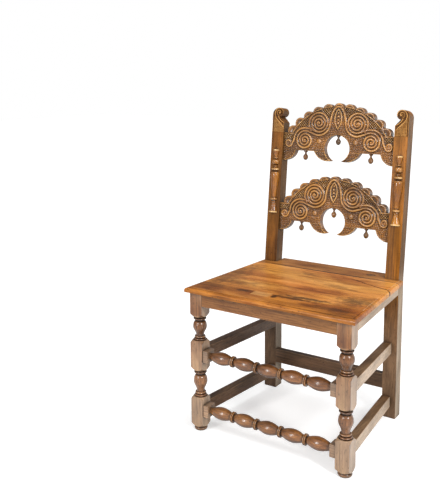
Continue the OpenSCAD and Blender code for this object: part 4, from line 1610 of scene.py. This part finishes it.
@dataclass
class SplitSpindle:
    """A half-round turning on the face of a post."""

    plan: Plan
    s: float = 166.0

    def build(self, bench: Bench, side: Side) -> None:
        """Makes the spindle of one side and delivers it.

        Args:
            bench: Where it is delivered.
            side: The side of the post that it is glued to.
        """
        profile = [
            (0.0, 0.0),
            (15.2, 0.0),
            (15.2, 2.0),
            *ogee(3, 14, 31, 8.6),
            *bead(36, 4, 9.5),
            *bead(45, 10, 12),
            (8.2, 52),
            *ogee(55, 8.2, 126, 15.2),
            *swell(138, 8.5, 128, 15.2)[::-1],
            (7.5, 140),
            *bead(146, 8, 13.6),
            (6.6, 153),
            (6.6, 159),
            *bead(170, 18, 12.9),
            (6.0, 181),
            *bead(184, 4, 7.4),
            *ogee(187, 6, 209, 10.6),
            (10.6, 213),
            (0.0, 213),
        ]
        bm = Turning(profile).build()
        saw_off(bm, Vector((0, 0, 0)), Vector((0, 1, 0)))
        middle = self.plan.post_in() + self.plan.post_w / 2
        place = bench.rake @ Matrix.Translation((side.value * middle, 0, self.s))
        name = f"split_spindle_{side.name.lower()}"
        bench.deliver(f"{name}_turned", bm, place, SPINDLE_OAK, [name])


@dataclass
class BackPost:
    """A back post, with a carved scroll on the front of its top."""

    plan: Plan
    rise: float = 520.0
    scroll: Point = (20.0, 504.5)
    carved_from: float = 438.0
    depth: float = 2.6
    eye_r: float = 3.0
    net: float = 4.4
    net_h: float = 1.4
    net_relief: float = 0.9
    net_top: float = 452.0
    net_slope: float = 1.02
    net_w: float = 39.0
    edge: float = 2.0
    cell: float = 0.9

    def build(self, bench: Bench, side: Side) -> None:
        """Makes the post of one side and delivers it.

        Args:
            bench: Where it is delivered.
            side: The side that it stands on.
        """
        name = f"back_post_{side.name.lower()}"
        bm = bench.copy_of(name)
        soften(bm, self.edge)
        bmesh.ops.transform(bm, matrix=bench.rake.inverted() @ bench.leg, verts=bm.verts)
        layer = bm.verts.layers.float[CAVITY]
        self._rule(bm, side)
        front = {
            f for f in self._facing(bm)
            if abs(f.calc_center_median().y) < 0.02
            and f.calc_center_median().z > self.carved_from
        }
        free = [
            v for v in {v for f in front for v in f.verts}
            if all(f in front for f in v.link_faces)
        ]
        x = np.array([side.value * v.co.x - self.plan.post_in() for v in free])
        z = np.array([v.co.z for v in free])
        for vert, down, dark in zip(free, *self._carving(x, z)):
            vert.co.y += float(down)
            vert[layer] = float(dark)
        finish = LEFT_POST_OAK if side is Side.LEFT else POST_OAK
        bench.deliver(f"{name}_carved", bm, bench.rake, finish, [name])

    def _facing(self, bm: Mesh) -> list[bmesh.types.BMFace]:
        """Faces that look straight to the front, in the rake frame."""
        return [f for f in bm.faces if f.normal.y < -0.999]

    def _rule(self, bm: Mesh, side: Side) -> None:
        """Cuts the front of the top into small cells, ready for the carving.

        Args:
            bm: The post.
            side: The side that it stands on.
        """
        inner, outer = self.plan.post_in(), self.plan.back_w / 2
        bm.normal_update()
        cuts = [("z", z) for z in np.arange(self.carved_from, self.rise, self.cell)]
        cuts += [("x", side.value * x) for x in np.arange(inner + self.cell, outer, self.cell)]
        for axis, value in cuts:
            normal = Vector((1, 0, 0)) if axis == "x" else Vector((0, 0, 1))
            low = self.carved_from - (2 if axis == "z" else 0)
            faces = [
                f for f in self._facing(bm)
                if abs(f.verts[0].co.y) < 0.02
                and max(v.co.z for v in f.verts) > low + 0.01
                and (axis == "z" or min(v.co.z for v in f.verts) > low - 0.01)
            ]
            edges = {e for f in faces for e in f.edges}
            verts = {v for f in faces for v in f.verts}
            bmesh.ops.bisect_plane(
                bm,
                geom=[*verts, *edges, *faces],
                plane_co=normal * float(value),
                plane_no=normal,
                dist=1e-4,
            )

    def _carving(self, x: Array, z: Array) -> tuple[Array, Array]:
        """How deep the front is carved, and how dark its hollows are.

        Args:
            x: Places across, from the post's inner face.
            z: Places up the rake.

        Returns:
            Depths below the face in millimetres, and hollows from -1 to 1.
        """
        coil = spiral(self.scroll, -75, 10.4, 3.0, 7.5, 1)
        outer = [
            (3.5, 456), (12, 466), (22, 475), (30.5, 484), (35.5, 494), (36, 503),
            (32.5, 512), (26, 517.5), (19, 518.5), (11, 515.5), (6, 509), (5.3, 501),
        ]
        band = [(0, 470), (8, 474), (17, 482), (22, 488.5), (24.5, 492.5)]
        rise = np.maximum(0.0, dome(x, z, self.scroll, self.eye_r, self.depth))
        for points, half in ((coil, 2.7), (outer, 3.0), (band, 2.6)):
            rise = np.maximum(rise, Ridge(smooth_path(points), half, self.depth).over(x, z))
        under = (z < self.net_top + self.net_slope * x) & (x < self.net_w)
        net = np.maximum(np.sin(math.tau * z / self.net), np.sin(math.tau * x / self.net))
        netted = np.maximum(rise, self.net_h + self.net_relief * net)
        rise = np.where(under, netted, rise)
        lip = np.clip(z - self.carved_from, 0, 1)
        rim = np.minimum(np.minimum(x, self.plan.post_w - x) - 1.5, 3) / 1.2
        deep = (self.depth - rise) * lip * np.clip(rim, 0, 1)
        return deep, np.clip(deep / self.depth * 1.8 - 1, -1, 1)


@dataclass
class PlainBars:
    """The sawn and planed rails and stretchers, with worn edges."""

    edge: float = 1.4
    bars: tuple[tuple[str, OakFinish, str], ...] = (
        ("front_seat_rail", FRONT_RAIL_OAK, "rail_oak"),
        ("back_seat_rail", DARK_OAK, "dark_oak"),
        ("left_seat_rail", SIDE_OAK, "side_oak"),
        ("right_seat_rail", SIDE_OAK, "side_oak"),
        ("left_upper_stretcher", DARK_SIDE_OAK, "dark_oak"),
        ("left_lower_stretcher", DARK_SIDE_OAK, "dark_oak"),
        ("right_upper_stretcher", SIDE_OAK, "side_oak"),
        ("right_lower_stretcher", SIDE_OAK, "side_oak"),
        ("back_stretcher", DARK_OAK, "dark_oak"),
    )

    def build(self, bench: Bench) -> None:
        """Makes every bar and delivers it.

        Args:
            bench: Where they are delivered.
        """
        for node, finish, slot in self.bars:
            bm = bench.copy_of(node)
            soften(bm, self.edge)
            bench.deliver(f"{node}_worn", bm, bench.leg, finish, [node])


@dataclass
class Seat:
    """The plank seat: three boards, a let-in patch and a peg."""

    edge: float = 1.3
    split: tuple[Place, ...] = (
        (108, 343, 0.4),
        (140, 327, 1.2),
        (175, 308, 1.6),
        (200, 298, 1.6),
        (240, 290, 1.8),
        (258, 276, 2.4),
        (276, 258, 3.4),
    )
    split_from: float = 460.0
    split_to: float = 441.0
    boards: tuple[tuple[str, OakFinish, str], ...] = (
        ("seat_front_board", FRONT_BOARD_OAK, "seat_oak"),
        ("seat_middle_board", SEAT_OAK, "seat_oak"),
        ("seat_back_board", BACK_BOARD_OAK, "seat_oak"),
        ("seat_patch", PATCH_OAK, "patch_oak"),
        ("seat_back_peg", DARK_OAK, "dark_oak"),
    )

    def build(self, bench: Bench) -> None:
        """Makes the boards, the patch and the peg, and delivers them.

        Args:
            bench: Where they are delivered.
        """
        for node, finish, slot in self.boards:
            bm = bench.copy_of(node)
            soften(bm, self.edge, 50.0)
            if node == "seat_middle_board":
                bm = self._with_split(bm)
            bench.deliver(f"{node}_polished", bm, bench.leg, finish, [node])

    def _cutter(self) -> Mesh:
        """Makes a thin wedge that follows the split.

        Returns:
            The wedge, from above the board to the bottom of the split.
        """
        count = len(self.split) - 1
        bm = bmesh.new()
        bmesh.ops.create_grid(bm, x_segments=count, y_segments=1, size=1)
        for vert in bm.verts:
            x, y, width = self.split[round((vert.co.x + 1) / 2 * count)]
            half = math.copysign(width / 2, vert.co.y)
            vert.co = Vector((x + half / 2, y + half, self.split_from))
        made = bmesh.ops.extrude_face_region(bm, geom=bm.faces[:])["geom"]
        down = [v for v in made if isinstance(v, bmesh.types.BMVert)]
        bmesh.ops.translate(bm, verts=down, vec=(0, 0, self.split_to - self.split_from))
        bmesh.ops.recalc_face_normals(bm, faces=bm.faces)
        return bm

    def _with_split(self, bm: Mesh) -> Mesh:
        """Cuts the split into the middle board.

        Args:
            bm: The board, in millimetres. It is freed.

        Returns:
            The board with its split.
        """
        board, wedge = to_object("board", bm), to_object("wedge", self._cutter())
        cut = board.modifiers.new("split", "BOOLEAN")
        cut.operation = "DIFFERENCE"
        cut.solver = "EXACT"
        cut.object = wedge
        made = bmesh.new()
        made.from_object(board, bpy.context.evaluated_depsgraph_get())
        for part in (board, wedge):
            mesh = part.data
            bpy.data.objects.remove(part)
            bpy.data.meshes.remove(mesh)
        return made


@dataclass(frozen=True)
class Lamp:
    """A soft box, placed round the chair and pointed at it."""

    name: str
    at: Place
    size: Point
    watts: float


@dataclass
class Studio:
    """A pale floor, soft lamps, a white surround and the camera."""

    target: Place = (0.0, 0.0, 0.5)
    bright_side: Place = (0.6, -0.55, 0.58)
    bright_from: Point = (-0.7, 0.9)
    surround: Point = (0.12, 0.75)
    gloss_share: float = 0.08
    floor_size: float = 30.0
    floor_lift: Point = (0.46, 0.75)
    floor_far: Point = (1.0, 6.0)
    lamps: tuple[Lamp, ...] = (
        Lamp("key", (2.4, -1.3, 1.9), (0.4, 1.2), 54.0),
        Lamp("rim", (1.5, 2.6, 0.9), (1.4, 1.4), 8.0),
        Lamp("fill", (-0.9, -3.0, 1.5), (0.3, 1.8), 50.0),
        Lamp("top", (0.3, 0.1, 2.9), (0.9, 0.9), 26.0),
    )
    camera_at: Place = (0.967, -1.886, 1.056)
    yaw_deg: float = 34.166
    pitch_deg: float = 7.926
    roll_deg: float = -0.403
    focal_px: float = 708.4
    frame_px: float = 500.0
    centre_px: float = 180.0
    sensor_mm: float = 36.0
    sight: float = 60.0

    def build(self) -> None:
        """Sets the whole studio up."""
        bpy.context.scene.view_settings.view_transform = "Standard"
        self._camera()
        self._floor()
        self._world()
        for lamp in self.lamps:
            self._lamp(lamp)

    def _camera(self) -> None:
        """Puts the camera where the photograph was taken from."""
        data = bpy.data.cameras.new("camera")
        data.sensor_width = self.sensor_mm
        data.lens = self.focal_px / self.frame_px * self.sensor_mm
        data.shift_y = (self.centre_px - self.frame_px / 2) / self.frame_px
        data.clip_end = self.sight
        angles = (self.yaw_deg, self.pitch_deg, self.roll_deg)
        yaw, pitch, roll = (math.radians(a) for a in angles)
        ahead = Vector((
            -math.sin(yaw) * math.cos(pitch), math.cos(yaw) * math.cos(pitch), -math.sin(pitch)
        ))
        level = ahead.cross(Vector((0, 0, 1))).normalized()
        above = level.cross(ahead)
        right = level * math.cos(roll) + above * math.sin(roll)
        up = above * math.cos(roll) - level * math.sin(roll)
        camera = bpy.data.objects.new("camera", data)
        turned = Matrix((right, up, -ahead)).transposed().to_4x4()
        camera.matrix_world = Matrix.Translation(self.camera_at) @ turned
        bpy.context.scene.collection.objects.link(camera)
        bpy.context.scene.camera = camera

    def _seen(self, tree: Tree) -> Socket:
        """How far a ray sees the white: wax shows less of it than an eye.

        Args:
            tree: The floor's or the surround's node tree.

        Returns:
            1 for the camera and through glass, and gloss_share in a gloss.
        """
        rays = add_node(tree, "LightPath").node.outputs
        inputs = (rays["Is Glossy Ray"], self.gloss_share)
        gloss = add_node(tree, "Math", inputs, operation="MULTIPLY")
        seen = add_node(tree, "Math", (rays["Is Camera Ray"], gloss), operation="MAXIMUM")
        inputs = (seen, rays["Is Transmission Ray"])
        return add_node(tree, "Math", inputs, operation="MAXIMUM")

    def _floor(self) -> None:
        """Lays a matt white floor that keeps the chair's shadow."""
        bm = bmesh.new()
        bmesh.ops.create_grid(bm, x_segments=1, y_segments=1, size=self.floor_size / 2)
        floor = to_object("floor", bm)
        # Matt white paint with a glow that only an eye sees, so that it looks white
        material = bpy.data.materials.new("matt_white_floor")
        tree = bare_tree(material)
        paint = add_node(tree, "BsdfDiffuse", {"Color": linear("#eaeaea"), "Roughness": 0.0})
        coords = add_node(tree, "TexCoord", out="Object")
        far = add_node(tree, "VectorMath", (coords,), "Value", operation="LENGTH")
        inputs = (far, *self.floor_far, *self.floor_lift)
        level = add_node(tree, "MapRange", inputs, interpolation_type="SMOOTHSTEP")
        lift = add_node(tree, "Math", (self._seen(tree), level), operation="MULTIPLY")
        glow = add_node(tree, "Emission", {"Color": linear("#ffffff"), "Strength": lift})
        both = add_node(tree, "AddShader", (paint, glow))
        add_node(tree, "OutputMaterial", {"Surface": both})
        floor.data.materials.append(material)

    def _world(self) -> None:
        """Makes a surround that shows white, and lights the chair from the right."""
        world = bpy.data.worlds.new("white_surround")
        tree = bare_tree(world)
        ahead = add_node(tree, "TexCoord", out="Generated")
        inputs = (ahead, self.bright_side)
        toward = add_node(tree, "VectorMath", inputs, "Value", operation="DOT_PRODUCT")
        inputs = (toward, *self.bright_from, *self.surround)
        level = add_node(tree, "MapRange", inputs, interpolation_type="SMOOTHSTEP")
        inputs = {0: self._seen(tree), 2: level, 3: 1.0}
        strength = add_node(tree, "Mix", inputs, data_type="FLOAT")
        inputs = {"Color": linear("#ffffff"), "Strength": strength}
        add_node(tree, "OutputWorld", {"Surface": add_node(tree, "Background", inputs)})
        bpy.context.scene.world = world

    def _lamp(self, lamp: Lamp) -> None:
        """Hangs one soft box and points it at the chair.

        Args:
            lamp: The soft box.
        """
        data = bpy.data.lights.new(lamp.name, "AREA")
        data.shape = "RECTANGLE"
        data.size, data.size_y = lamp.size
        data.energy = lamp.watts
        light = bpy.data.objects.new(lamp.name, data)
        light.location = lamp.at
        aim = Vector(self.target) - Vector(lamp.at)
        light.rotation_mode = "QUATERNION"
        light.rotation_quaternion = aim.to_track_quat("-Z", "Y")
        bpy.context.scene.collection.objects.link(light)


@dataclass
class SideChair:
    """The whole chair, made in the order that a joiner would fit it."""

    plan: Plan = Plan()
    crest_s: float = 379.6
    lower_s: float = 143.1

    def build(self) -> None:
        """Makes and delivers every piece."""
        bench = Bench(self.plan)
        for side in Side:
            FrontLeg(self.plan).build(bench, side)
            BackPost(self.plan).build(bench, side)
        for name in ("upper_front_stretcher", "lower_front_stretcher"):
            FrontStretcher(self.plan).build(bench, name)
        PlainBars().build(bench)
        Seat().build(bench)
        rail = ArchedRail(self.plan)
        for row, node, s in (
            ("crest", "crest_rail", self.crest_s),
            ("lower", "lower_arched_rail", self.lower_s),
        ):
            rail.build(bench, node, s)
            for place, word in enumerate(("left", "middle", "right"), -1):
                Drop(rail).build(bench, f"{row}_drop_{word}", place, s)
        for side in Side:
            SplitSpindle(self.plan).build(bench, side)


def main() -> None:
    """Builds the chair and its studio."""
    logging.basicConfig(level=logging.INFO, format="%(message)s")
    SideChair().build()
    Studio().build()
    log.info("the chair is ready")


if __name__ == "__main__":
    main()
